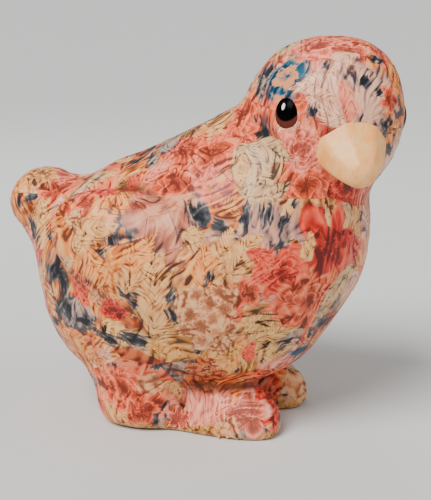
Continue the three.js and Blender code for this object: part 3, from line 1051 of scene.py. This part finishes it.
def pebbles(w, u, v, count, seed):
    flat = w.join(w.plus(u, seed), v, 0.0)
    given = {"Vector": flat, "Scale": count, "Randomness": PEBBLE_FORM["loose"]}
    cells = w.node("ShaderNodeTexVoronoi", given, voronoi_dimensions="2D")
    strokes = w.centred(w.noise(flat, PEBBLE_FORM["scale"], detail=1.0))
    far = w.vec("LENGTH", w.join(u, v, 0.0))
    cover = w.ramp(w.total((far, -1), (strokes, PEBBLE_FORM["fray"])), *PEBBLE_COVER)
    domed = w.ramp(cells.outputs["Distance"], *PEBBLE_DOME)
    return w.scaled(strokes, PEBBLE_FORM["stroke"], domed), cover


# %% [markdown]
# The group itself bends the motif's own flat place, so that no two flowers are alike, lets every form
# draw there, keeps the one that is asked for and adds the brush strokes that run over the whole sheet,
# with their painted stroke shade.

# %% Motif painter: the group
WOBBLE = {"scale": 1.5, "detail": 0.5, "reach": 0.55}
CUT_SOFT = 0.03
BRUSH_SHARE = 0.8
PAINTER_INPUTS = {
    "Place": "Vector", "Form": "Vector", "Dark": "Color", "Mid": "Color", "Light": "Color", "Below": "Color",
    "Brush": "Float",
}


def motif_painter():
    made = bpy.data.node_groups.new("printed motif", "ShaderNodeTree")
    for name, kind in PAINTER_INPUTS.items():
        made.interface.new_socket(name, in_out="INPUT", socket_type="NodeSocket" + kind)
    made.interface.new_socket("Colour", in_out="OUTPUT", socket_type="NodeSocketColor")
    w = Wiring(made)
    given = w.node("NodeGroupInput").outputs
    u, v, clip = w.parts(given["Place"])
    form, count, seed = w.parts(given["Form"])
    flat = w.join(u, v, seed)
    wobble = w.swirl(flat, WOBBLE["scale"], WOBBLE["detail"])
    u, v, _ = w.parts(w.vec("ADD", flat, w.vec("SCALE", wobble, WOBBLE["reach"])))

    is_rose = w.math("LESS_THAN", form, ROSE + 0.5)
    is_light = w.math("GREATER_THAN", form, LIGHT_HEART - 0.5)
    value, cover = flower(w, u, v, count, seed, is_rose, is_light)
    for kind, draw in ((LEAF, leaf), (SMUDGE, smudge), (FAN, fan), (PEBBLES, pebbles)):
        drawn_value, drawn_cover = draw(w, u, v, count, seed)
        asked = w.math("GREATER_THAN", form, kind - 0.5)
        value = w.mix_value(asked, value, drawn_value)
        cover = w.mix_value(asked, cover, drawn_cover)
    cover = w.times(cover, w.ramp(clip, -CUT_SOFT, CUT_SOFT))
    value = w.scaled(given["Brush"], BRUSH_SHARE, value)
    inked = tone_of(w, value, given["Dark"], given["Mid"], given["Light"])
    w.put(w.node("NodeGroupOutput").inputs["Colour"], w.mix(cover, given["Below"], inked))
    return made


painter = motif_painter()
print("painter nodes:", len(painter.nodes))

# %% [markdown]
# The paper finish begins with the strokes of the print. They follow a scrap's own grain, bent by a slow
# swirl: fine streaks, and pale and dark curled lines with painted shade, lighter on one side and darker
# on the other, as if each stroke were raised and lit.
# The same strokes run on through the ground and through every motif, which ties the print together.

# %% Brush strokes of the paper
PER_MM = {
    "swirl": 0.055, "streak": 0.5, "curl": 0.2, "faint": 0.16, "area": 0.14, "blush": 0.07, "fine": 0.9,
    "patch": 0.11, "mottle": 0.55, "varnish": 0.12,
}
SWIRL_REACH = 16.0
GRAIN_DRAW = 0.82
CURLS = 4.4
LIT_SIDE = (0.0, 0.35, 0.5)
FAINT = (0.36, 0.62)
LINE_BREAKS = (-0.12, 0.04)
PALE_LINE = (0.5, 1.0, 0, 0.48)
DARK_LINE = (-0.55, -1.0, 0, 1.0)
BRUSH = {"painted_stroke_shade": -0.14, "streak": 0.7}

paper.use_nodes = True
paper.node_tree.nodes.clear()
w = Wiring(paper.node_tree)
spot = w.object_mm()
edge = w.attribute("scrap edge")["Fac"]
over = w.ramp(edge, -CUT_SOFT, CUT_SOFT)
grain = w.mix_vector(over, w.attribute("under grain")["Vector"], w.attribute("over grain")["Vector"])
bent = w.vec("ADD", spot, w.vec("SCALE", w.swirl(spot, PER_MM["swirl"]), SWIRL_REACH))
along = w.vec("SCALE", grain, w.times(w.vec("DOT_PRODUCT", bent, grain), GRAIN_DRAW))
flow = w.vec("SUBTRACT", bent, along)
streaks = w.centred(w.noise(flow, PER_MM["streak"], detail=1.5))


def curl_wave(at):
    return w.math("SINE", w.times(w.noise(at, PER_MM["curl"], detail=0.0), CURLS * 2 * math.pi))


wave = curl_wave(flow)
# Painted shade on the strokes: each curled line lighter on one side and darker on the other, as if lit.
painted_stroke_shade = w.minus(curl_wave(w.vec("ADD", flow, LIT_SIDE)), wave)
faint = w.ramp(w.noise(spot, PER_MM["faint"], detail=0.0), *FAINT)
bright = w.times(faint, w.ramp(streaks, *LINE_BREAKS))
shaded = w.times(w.minus(1, faint), w.ramp(streaks, *[-v for v in LINE_BREAKS]))
pale_line = w.times(w.ramp(wave, *PALE_LINE), bright)
dark_line = w.times(w.ramp(wave, *DARK_LINE), shaded)
brush = w.total((pale_line, 1), (dark_line, -1), (painted_stroke_shade, BRUSH["painted_stroke_shade"]), (streaks, BRUSH["streak"]))
print("stroke nodes:", len(paper.node_tree.nodes))

# %% [markdown]
# The ground takes its tone from the strokes and from slow light and dark areas, and blushes with peach
# here and there. The four motif layers are laid over it from the lowest up.

# %% Ground and printed layers
GROUND = {"streak": 1.6, "area": 1.4, "base": 0.52}
BLUSH = (0.5, 0.68, 0, 0.5)


def colour(tone):
    return (*[float(v) for v in tone], 1.0)


tones = [
    w.mix(over, w.attribute(f"under {name}")["Color"], w.attribute(f"over {name}")["Color"])
    for name in TONE_NAMES
]
areas = w.centred(w.noise(spot, PER_MM["area"], detail=1.0))
ground = w.total((streaks, GROUND["streak"]), (areas, GROUND["area"]), (brush, 1))
ground = w.plus(ground, GROUND["base"])
shown = tone_of(w, ground, *tones)
blush = w.ramp(w.noise(spot, PER_MM["blush"], detail=2.0), *BLUSH)
shown = w.mix(blush, shown, tone_of(w, ground, *[colour(tone) for tone in TONES["peach"]]))
for layer in reversed(range(LAYERS)):
    laid = w.node("ShaderNodeGroup", node_tree=painter)
    w.give(laid, {"Below": shown, "Brush": brush})
    for names, field in ((("place", "form"), "Vector"), (TONE_NAMES, "Color")):
        for name in names:
            w.put(laid.inputs[name.capitalize()], w.attribute(f"layer {layer} {name}")[field])
    shown = laid.outputs["Colour"]
print("layers laid:", LAYERS)

# %% [markdown]
# Then come the things that happened to the real figure: brown dirt in the hollows and along the cuts,
# worn and torn rims at the soles, and a satin varnish with brushed unevenness. The brown in the hollows
# is also painted shade, which darkens the creases where shade falls.

# %% Wear, painted shade in the hollows, and varnish
DIRT_AND_SHADE_TONE = light_of(74, 46, 34)
BARE = light_of(176, 124, 80)
TORN = light_of(222, 190, 150)
HOLLOW_SHADE_AND_DIRT_MIX = {"fine": 0.5, "streak": 0.7}
HOLLOW_SHADE_AND_DIRT_RANGE = (0.25, 0.9, 0, 0.8)
WORN = {"fine": 8, "patch": 9, "rough": 0.3}
WORN_RANGE = (1.6, 2.6, 1, 0)
TORN_RANGE = (0.42, 0.6)
RIM_DIRT = (0.44, 0.36, 0, 0.85)
CUT_LINE = (0.05, 0.22, 0.22, 0)
SHEET_STEP = 0.12
RELIEF = {"streak": 0.7, "step": 0.5, "fine": 0.35}
PAPER_BUMP = {"Strength": 0.75, "Distance": 0.0004}
SATIN = (0.35, 0.65, 0.34, 0.5)
VARNISH = {"Coat Weight": 0.1, "Coat Roughness": 0.2, "Specular IOR Level": 0.21}

fine = w.noise(spot, PER_MM["fine"], detail=3.0, rough=0.65)
z = w.parts(spot)[2]
# Brown in the hollows: partly dirt, partly painted shade that darkens the creases.
hollow_share = w.attribute("hollow")["Fac"]
hollow_shade_and_dirt = w.total(
    (hollow_share, 1), (w.centred(fine), HOLLOW_SHADE_AND_DIRT_MIX["fine"]), (streaks, HOLLOW_SHADE_AND_DIRT_MIX["streak"])
)
shown = w.mix(w.ramp(hollow_shade_and_dirt, *HOLLOW_SHADE_AND_DIRT_RANGE), shown, colour(DIRT_AND_SHADE_TONE))
patchy = w.centred(w.noise(spot, PER_MM["patch"], detail=1.0))
worn = w.ramp(w.total((z, 1), (w.centred(fine), WORN["fine"]), (patchy, WORN["patch"])), *WORN_RANGE)
mottle = w.noise(spot, PER_MM["mottle"], detail=3.0, rough=0.7)
rim_colour = w.mix(w.ramp(mottle, *TORN_RANGE), colour(BARE), colour(TORN))
rim_colour = w.mix(w.ramp(mottle, *RIM_DIRT), rim_colour, colour(DIRT_AND_SHADE_TONE))
shown = w.mix(worn, shown, rim_colour)
shown = w.mix(w.ramp(w.math("ABSOLUTE", edge), *CUT_LINE), shown, colour(DIRT_AND_SHADE_TONE))

sheet_step = w.ramp(edge, -SHEET_STEP, SHEET_STEP)
relief = w.total((streaks, RELIEF["streak"]), (sheet_step, RELIEF["step"]), (fine, RELIEF["fine"]))
bump = w.node("ShaderNodeBump", {**PAPER_BUMP, "Height": relief})
brushed = w.noise(spot, PER_MM["varnish"], detail=3.0)
rough = w.plus(w.ramp(brushed, *SATIN), w.times(worn, WORN["rough"]))
given = {"Base Color": shown, "Roughness": rough, "Normal": bump.outputs[0], **VARNISH}
finish = w.node("ShaderNodeBsdfPrincipled", given)
w.put(w.node("ShaderNodeOutputMaterial").inputs[0], finish.outputs[0])
print("paper finish nodes:", len(paper.node_tree.nodes))

# %% [markdown]
# At the soles the paper ends in a torn rim, with little curled flakes. A tree scatters them over a band
# just above the ground: one thin bent flake is made once and set at random points of the skin, and its
# random turns come from a fixed seed. Where a flake would dip below the ground, it is pressed flat.
# Placing each by hand would take as long and look more even.

# %% Torn flakes at the soles
FLAKES = {"Lowest": 0.8, "Highest": 2.6, "Per square metre": 90000.0, "Tilt": 0.5}
FLAKE_SIZE = (1.9, 1.1, 0.16)
FLAKE_GRID = {"Vertices X": 4, "Vertices Y": 3, "Vertices Z": 2}
FLAKE_SHARES = (0.45, 1.0)
FLAKE_CURL = 0.3
FLAKE_RAGGED = {"per mm": 1.6, "reach": (1.1, 0.9, 0.0)}
FLAKE_SEED = 11
STEEPEST = 0.6
GROUND_CLEAR = 0.05


def drawn_between(w, low, high, seed):
    made = w.node("FunctionNodeRandomValue", {2: low, 3: high, "Seed": seed}, data_type="FLOAT")
    return made.outputs[1]


inputs = {"Skin": "Geometry", "Finish": "Material", **dict.fromkeys(FLAKES, "Float")}
flake_tree = new_tree("torn flakes", inputs)
w = Wiring(flake_tree)
size = w.node("NodeGroupInput").outputs
spot = w.node("GeometryNodeInputPosition").outputs[0]
z = w.parts(w.vec("SCALE", spot, 1 / MM))[2]
tip_up = w.parts(w.node("GeometryNodeInputNormal").outputs[0])[2]
above = w.math("GREATER_THAN", z, size["Lowest"])
in_band = w.times(above, w.math("LESS_THAN", z, size["Highest"]))
in_band = w.times(in_band, w.math("LESS_THAN", w.math("ABSOLUTE", tip_up), STEEPEST))
scatter = w.node(
    "GeometryNodeDistributePointsOnFaces",
    {"Mesh": size["Skin"], "Density": w.times(size["Per square metre"], in_band), "Seed": FLAKE_SEED},
)
flat_flake = w.node("GeometryNodeMeshCube", {"Size": tuple(v * MM for v in FLAKE_SIZE), **FLAKE_GRID})
across = w.math("DIVIDE", w.parts(spot)[0], FLAKE_SIZE[0] / 2 * MM)
curl = w.times(w.times(across, across), FLAKE_CURL * MM)
ragged = w.swirl(spot, FLAKE_RAGGED["per mm"] / MM)
ragged = w.vec("MULTIPLY", ragged, tuple(v * MM for v in FLAKE_RAGGED["reach"]))
ragged = w.vec("ADD", ragged, w.join(0.0, 0.0, curl))
flake = w.node("GeometryNodeSetPosition", {"Geometry": flat_flake.outputs["Mesh"], "Offset": ragged})
tilt = [w.times(size["Tilt"], drawn_between(w, -1.0, 1.0, FLAKE_SEED + k)) for k in (1, 2)]
spin = w.join(*tilt, drawn_between(w, 0.0, 2 * math.pi, FLAKE_SEED + 3))
turned_by = w.node("FunctionNodeEulerToRotation", {0: spin}).outputs[0]
given = {0: scatter.outputs["Rotation"], 1: turned_by}
turn = w.node("FunctionNodeRotateRotation", given, rotation_space="LOCAL")
set_down = w.node(
    "GeometryNodeInstanceOnPoints",
    {
        "Points": scatter.outputs["Points"],
        "Instance": flake.outputs[0],
        "Rotation": turn.outputs[0],
        "Scale": drawn_between(w, *FLAKE_SHARES, FLAKE_SEED + 4),
    },
)
solid = w.node("GeometryNodeRealizeInstances", {"Geometry": set_down.outputs[0]})
x, y, z = w.parts(spot)
above_ground = w.join(x, y, w.math("MAXIMUM", z, GROUND_CLEAR * MM))
pressed = w.node("GeometryNodeSetPosition", {"Geometry": solid.outputs[0], "Position": above_ground})
dressed = w.node("GeometryNodeSetMaterial", {"Geometry": pressed.outputs[0], "Material": size["Finish"]})
w.put(w.node("NodeGroupOutput").inputs[0], dressed.outputs[0])
print("flake nodes:", len(flake_tree.nodes))

# %% [markdown]
# The flakes show the bare side of the paper, pale and brown in patches, with a little fibre.

# %% Torn rim finish
FLAKE_PER_MM = {"patches": 0.35, "fibres": 3.0}
FLAKE_PALE = (0.4, 0.55)
FLAKE_DIRT = (0.46, 0.36, 0, 0.85)
FLAKE_ROUGH = 0.75
FLAKE_BUMP = {"Strength": 0.4, "Distance": 0.0002}


def new_finish(name):
    made = bpy.data.materials.new(name)
    made.use_nodes = True
    return made, Wiring(made.node_tree), made.node_tree.nodes["Principled BSDF"]


torn, w, finish = new_finish("torn paper rim")
spot = w.object_mm()
patches = w.noise(spot, FLAKE_PER_MM["patches"], detail=2.0, rough=0.6)
tint = w.mix(w.ramp(patches, *FLAKE_PALE), colour(BARE), colour(TORN))
tint = w.mix(w.ramp(patches, *FLAKE_DIRT), tint, colour(DIRT_AND_SHADE_TONE))
fibres = w.noise(spot, FLAKE_PER_MM["fibres"], detail=2.0)
bump = w.node("ShaderNodeBump", {**FLAKE_BUMP, "Height": fibres})
w.give(finish, {"Base Color": tint, "Roughness": FLAKE_ROUGH, "Normal": bump.outputs[0]})

skin_copy = body_mesh.copy()
flake_mesh = made_by(flake_tree, "torn_rim_flakes", {**FLAKES, "Finish": torn}, skin_copy)
bpy.data.meshes.remove(skin_copy)
flakes = piece("torn_rim_flakes", flake_mesh)
lowest_flake = min(v.co.z for v in flake_mesh.vertices)
print("flakes:", len(flake_mesh.polygons), "faces, lowest", round(lowest_flake / MM, 2), "mm")

# %% [markdown]
# The beak is a plain blunt cone of painted pulp, pressed onto the face and glued. It was trimmed with
# a few flat strokes of a knife, so a cross-section is a rounded polygon, a little narrower at the top:
# each flat lies at an angle and takes the ring in to its own distance. The rings run from inside the
# head to the tip.

# %% Beak
BEAK = {
    "yaw": 9.6, "down": 21, "point": 37, "length": 12.2, "sunk": 4, "half_width": 12.3, "half_height": 8.6,
    "narrow_top": 0.13, "fullness": 0.45, "tip": 3.2, "rise": 1.2, "rings": 40, "sides": 96,
}
FLATS = {-34: 0.87, 22: 0.93, 76: 0.93, 128: 0.93, 184: 0.92, 238: 0.91, 286: 0.92}
FLAT_SHARE = 0.8
FLAT_FADE = (0.15, 0.7)
TIP_RINGS = (0.75, 0.4)
OUT_OF_HEAD = 60
TIP_DROP = math.radians(BEAK["point"] - BEAK["down"])
TIP_WAY = (-math.sin(TIP_DROP), math.cos(TIP_DROP))


def head_frame(yaw_deg, up_deg, proud):
    out = head_way(yaw_deg, up_deg)
    middle = Vector(place(*FORMS["Head middle"])) / MM
    hit = search.ray_cast(middle + out * OUT_OF_HEAD, -out)[0]
    side = head_way(yaw_deg - 90, 0)
    up = out.cross(side).normalized()
    turn = Matrix((side, up, out)).transposed().to_4x4()
    return Matrix.Translation((hit + out * proud) * MM) @ turn


def trimmed(angle, along):
    reach = 1.0
    for flat_deg, near in FLATS.items():
        facing = math.cos(angle - math.radians(flat_deg))
        if facing > 0:
            reach = min(reach, near / facing)
    return 1 + (reach - 1) * FLAT_SHARE * math.sin(math.pi * min(1, FLAT_FADE[0] + FLAT_FADE[1] * along))


def smooth_mesh(made, name):
    for f in made.faces:
        f.smooth = True
    mesh = bpy.data.meshes.new(name)
    made.to_mesh(mesh)
    made.free()
    return mesh


def beak_mesh():
    b = BEAK
    made = bmesh.new()
    tip = Vector((0, *TIP_WAY)) * b["length"]
    base = Vector((0, 0, -b["sunk"]))
    rows = []
    for k in range(b["rings"] + 1):
        t = k / b["rings"]
        middle = base.lerp(tip, t)
        swell = math.sqrt(1 - t * t) * b["fullness"] + (1 - t) * (1 - b["fullness"])
        width = b["tip"] + (b["half_width"] - b["tip"]) * swell
        height = b["tip"] + (b["half_height"] - b["tip"]) * swell
        row = []
        for s in range(b["sides"]):
            a = 2 * math.pi * s / b["sides"]
            spread = 1 - b["narrow_top"] * math.sin(a)
            reach = Vector((width * math.cos(a) * spread, height * math.sin(a), 0))
            row.append(made.verts.new((middle + reach * trimmed(a, t)) * MM))
        rows.append(row)
    cap = tip.normalized() * b["rise"]
    for share in TIP_RINGS:
        lift = tip + cap * math.sqrt(1 - share * share)
        rows.append([made.verts.new((lift + (v.co / MM - tip) * share) * MM) for v in rows[b["rings"]]])
    front = made.verts.new((tip + cap) * MM)
    back = made.verts.new(base * MM)
    for s in range(b["sides"]):
        n = (s + 1) % b["sides"]
        for lower, upper in zip(rows, rows[1:]):
            made.faces.new((lower[s], lower[n], upper[n], upper[s]))
        made.faces.new((rows[-1][s], rows[-1][n], front))
        made.faces.new((rows[0][n], rows[0][s], back))
    return smooth_mesh(made, "beak_piece")


beak_form = beak_mesh()
beak_place = head_frame(BEAK["yaw"], -BEAK["down"], 0)
beak_form.transform(beak_place)
beak = piece("beak_piece", beak_form)
print("beak:", len(beak_form.polygons), "faces")

# %% [markdown]
# The beak's paint is a warm peach, cloudy and brushed on, with small brown chips round the tip where
# the figure has been knocked. The chips are found by their distance from the tip.

# %% Beak paint
PEACH_CLOUDS = (light_of(242, 180, 131), light_of(248, 204, 160))
PEACH_BRUSH = light_of(220, 162, 116)
PEACH_CHIPS = light_of(120, 76, 44)
PEACH_PER_MM = {"clouds": 0.16, "brush": 0.9, "chips": 0.7}
BRUSH_WAY = (1.0, 1.0, 0.25)
CLOUD_RANGE = (0.35, 0.65)
BRUSH_RANGE = (0.5, 0.7, 0, 0.4)
TIP_RANGE = (3.0, 4.6, 1, 0)
CHIP_RANGE = (0.56, 0.68, 0, 0.25)
PEACH_BUMP = {"Strength": 0.25, "Distance": 0.0003}
PEACH_GLOSS = {"Roughness": 0.5, "Coat Weight": 0.12}

peach, w, finish = new_finish("painted peach pulp")
spot = w.object_mm()
cloud = w.noise(spot, PEACH_PER_MM["clouds"], detail=3.0)
brush = w.noise(w.vec("MULTIPLY", spot, BRUSH_WAY), PEACH_PER_MM["brush"], detail=2.0)
tint = w.mix(w.ramp(cloud, *CLOUD_RANGE), *[colour(tone) for tone in PEACH_CLOUDS])
tint = w.mix(w.ramp(brush, *BRUSH_RANGE), tint, colour(PEACH_BRUSH))
beak_tip = beak_place @ (Vector((0, *TIP_WAY)) * BEAK["length"] * MM)
near_tip = w.vec("DISTANCE", spot, tuple(beak_tip / MM))
chips = w.noise(spot, PEACH_PER_MM["chips"], detail=2.0, rough=0.6)
chipped = w.times(w.ramp(near_tip, *TIP_RANGE), w.ramp(chips, *CHIP_RANGE))
tint = w.mix(chipped, tint, colour(PEACH_CHIPS))
bump = w.node("ShaderNodeBump", {**PEACH_BUMP, "Height": brush})
w.give(finish, {"Base Color": tint, "Normal": bump.outputs[0], **PEACH_GLOSS})
beak_form.materials.append(peach)
print("beak tip at", [round(v / MM, 1) for v in beak_tip], "mm")

# %% [markdown]
# The eyes are low glossy domes, a little narrower at the top and bent to the curve of the head. Each
# point remembers its place across the eye's face, so that the paint can follow the eye and not the room.

# %% Eyes
EYE = {"width": 11.2, "height": 13.8, "depth": 3.1, "proud": 0.9, "narrow": 0.12, "bend": 24}
EYE_SIDES = {"eye_right": (61.5, 1.5), "eye_left": (-62, -5)}
EYE_GRID = (64, 32)


def eye_mesh(name, mirrored):
    made = bmesh.new()
    bmesh.ops.create_uvsphere(made, u_segments=EYE_GRID[0], v_segments=EYE_GRID[1], radius=1)
    places = []
    for v in made.verts:
        half = EYE["width"] / 2 * (1 - EYE["narrow"] * v.co.y)
        v.co = Vector((v.co.x * half, v.co.y * EYE["height"] / 2, v.co.z * EYE["depth"]))
        places.append((v.co.x * (-1 if mirrored else 1), v.co.y, 0.0))
        v.co.z -= (v.co.x**2 + v.co.y**2) / (2 * EYE["bend"])
        v.co *= MM
    mesh = smooth_mesh(made, name)
    face = mesh.attributes.new("eye face", "FLOAT_VECTOR", "POINT")
    face.data.foreach_set("vector", np.array(places, np.float32).ravel())
    return mesh


eyes = {}
for name, (side_deg, up_deg) in EYE_SIDES.items():
    mesh = eye_mesh(name + "_dome", side_deg < 0)
    mesh.transform(head_frame(side_deg, up_deg, EYE["proud"] - EYE["depth"]))
    eyes[name] = piece(name + "_dome", mesh)
print("eyes:", sorted(eyes))

# %% [markdown]
# The eye's paint is laid on in ovals, one over the other: the red-brown iris with faint rays on a
# nearly black rim, the pupil, and a small white oval that is a painted highlight, in place of the
# eye's shine. All but the iris are one plain colour on the real eye.

# %% Eye paint
IRIS_STRENGTH = 1.1
IRIS_TONES = (light_of(88, 48, 41, IRIS_STRENGTH), light_of(116, 66, 57, IRIS_STRENGTH))
IRIS_RAYS = 9.0
EYE_RIM = light_of(20, 11, 11)
EYE_PUPIL = light_of(9, 7, 8)
EYE_PAINTED_HIGHLIGHT = light_of(246, 242, 238)
OVALS = {
    "iris": ((0.5, -0.1), (5.1, 6.5), 0.04),
    "pupil": ((1.0, 2.6), (3.8, 3.9), 0.06),
    "painted_highlight": ((0.0, 3.1), (0.55, 1.0), 0.14),
}
# The eye reflects almost nothing, so the painted highlight is its only shine.
EYE_GLOSS = {"Roughness": 0.22, "Specular IOR Level": 0.02}


def oval(w, spot, middle, radii, soft):
    off = w.vec("DIVIDE", w.vec("SUBTRACT", spot, (*middle, 0)), (*radii, 1))
    return w.ramp(w.vec("LENGTH", off), 1 - soft, 1 + soft, 1, 0)


glossy, w, finish = new_finish("glossy painted eye")
spot = w.attribute("eye face")["Vector"]
rays = w.noise(w.vec("NORMALIZE", spot), IRIS_RAYS, detail=2.0)
iris = w.mix(rays, *[colour(tone) for tone in IRIS_TONES])
painted = w.mix(oval(w, spot, *OVALS["iris"]), colour(EYE_RIM), iris)
painted = w.mix(oval(w, spot, *OVALS["pupil"]), painted, colour(EYE_PUPIL))
# The painted highlight: a white oval where the eye's shine would be.
painted = w.mix(oval(w, spot, *OVALS["painted_highlight"]), painted, colour(EYE_PAINTED_HIGHLIGHT))
w.give(finish, {"Base Color": painted, **EYE_GLOSS})
for made in eyes.values():
    made.data.materials.append(glossy)
print("eye ovals:", sorted(OVALS))

# %% [markdown]
# The pieces ride on the one body of the figure and stand for their solids.

# %% Place the pieces
for made, node, slot in (
    (body, "body", "paper"),
    (beak, "beak", "beak"),
    (eyes["eye_right"], "eye_right", "eye"),
    (eyes["eye_left"], "eye_left", "eye"),
):
    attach(made, "root")
    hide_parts(node)
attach(flakes, "root")
print("pieces on the body:", len(eyes) + 3)

# %% [markdown]
# A plain pale floor, far larger than the figure, so that its edge never shows.

# %% Floor
FLOOR_M = 24.0
FLOOR_TONE = light_of(214, 214, 212)
FLOOR_ROUGH = 0.8

half = FLOOR_M / 2
floor_mesh = bpy.data.meshes.new("floor")
floor_corners = [(-half, -half, 0), (half, -half, 0), (half, half, 0), (-half, half, 0)]
floor_mesh.from_pydata(floor_corners, [], [(0, 1, 2, 3)])
floor = piece("floor", floor_mesh)
pale, w, finish = new_finish("pale floor")
w.give(finish, {"Base Color": colour(FLOOR_TONE), "Roughness": FLOOR_ROUGH})
floor_mesh.materials.append(pale)
print("floor:", FLOOR_M, "m wide")

# %% [markdown]
# Plain soft studio light: a broad sun high on the chick's right, a soft panel in front of it, another
# behind it, and an even pale surround. Only the sun shows in the varnish, as one broad soft sheen.

# %% Light
LIGHTS = {
    "key": {"kind": "SUN", "at": (-120, 420, 560), "strength": 4.6},
    "fill": {"kind": "AREA", "at": (560, -80, 460), "strength": 1.5, "size": 600},
    "back": {"kind": "AREA", "at": (-380, -300, 480), "strength": 1.2, "size": 500},
}
KEY_SPREAD_DEG = 32
AIM = (0, 0, 60)
SURROUND = {"Color": colour(light_of(225, 227, 230)), "Strength": 0.36}

aim = place(*AIM)
for name, plan in LIGHTS.items():
    lamp = bpy.data.lights.new(name, plan["kind"])
    lamp.energy = plan["strength"]
    if plan["kind"] == "SUN":
        lamp.angle = math.radians(KEY_SPREAD_DEG)
    else:
        lamp.size = plan["size"] * MM
    holder = bpy.data.objects.new(name, lamp)
    bpy.context.scene.collection.objects.link(holder)
    holder.location = place(*plan["at"])
    holder.rotation_euler = (aim - holder.location).to_track_quat("-Z", "Y").to_euler()
    holder.visible_glossy = plan["kind"] == "SUN"
    holder.visible_camera = False
surround = bpy.data.worlds.new("surround")
surround.use_nodes = True
Wiring(surround.node_tree).give(surround.node_tree.nodes["Background"], SURROUND)
bpy.context.scene.world = surround
print("lights:", sorted(LIGHTS))
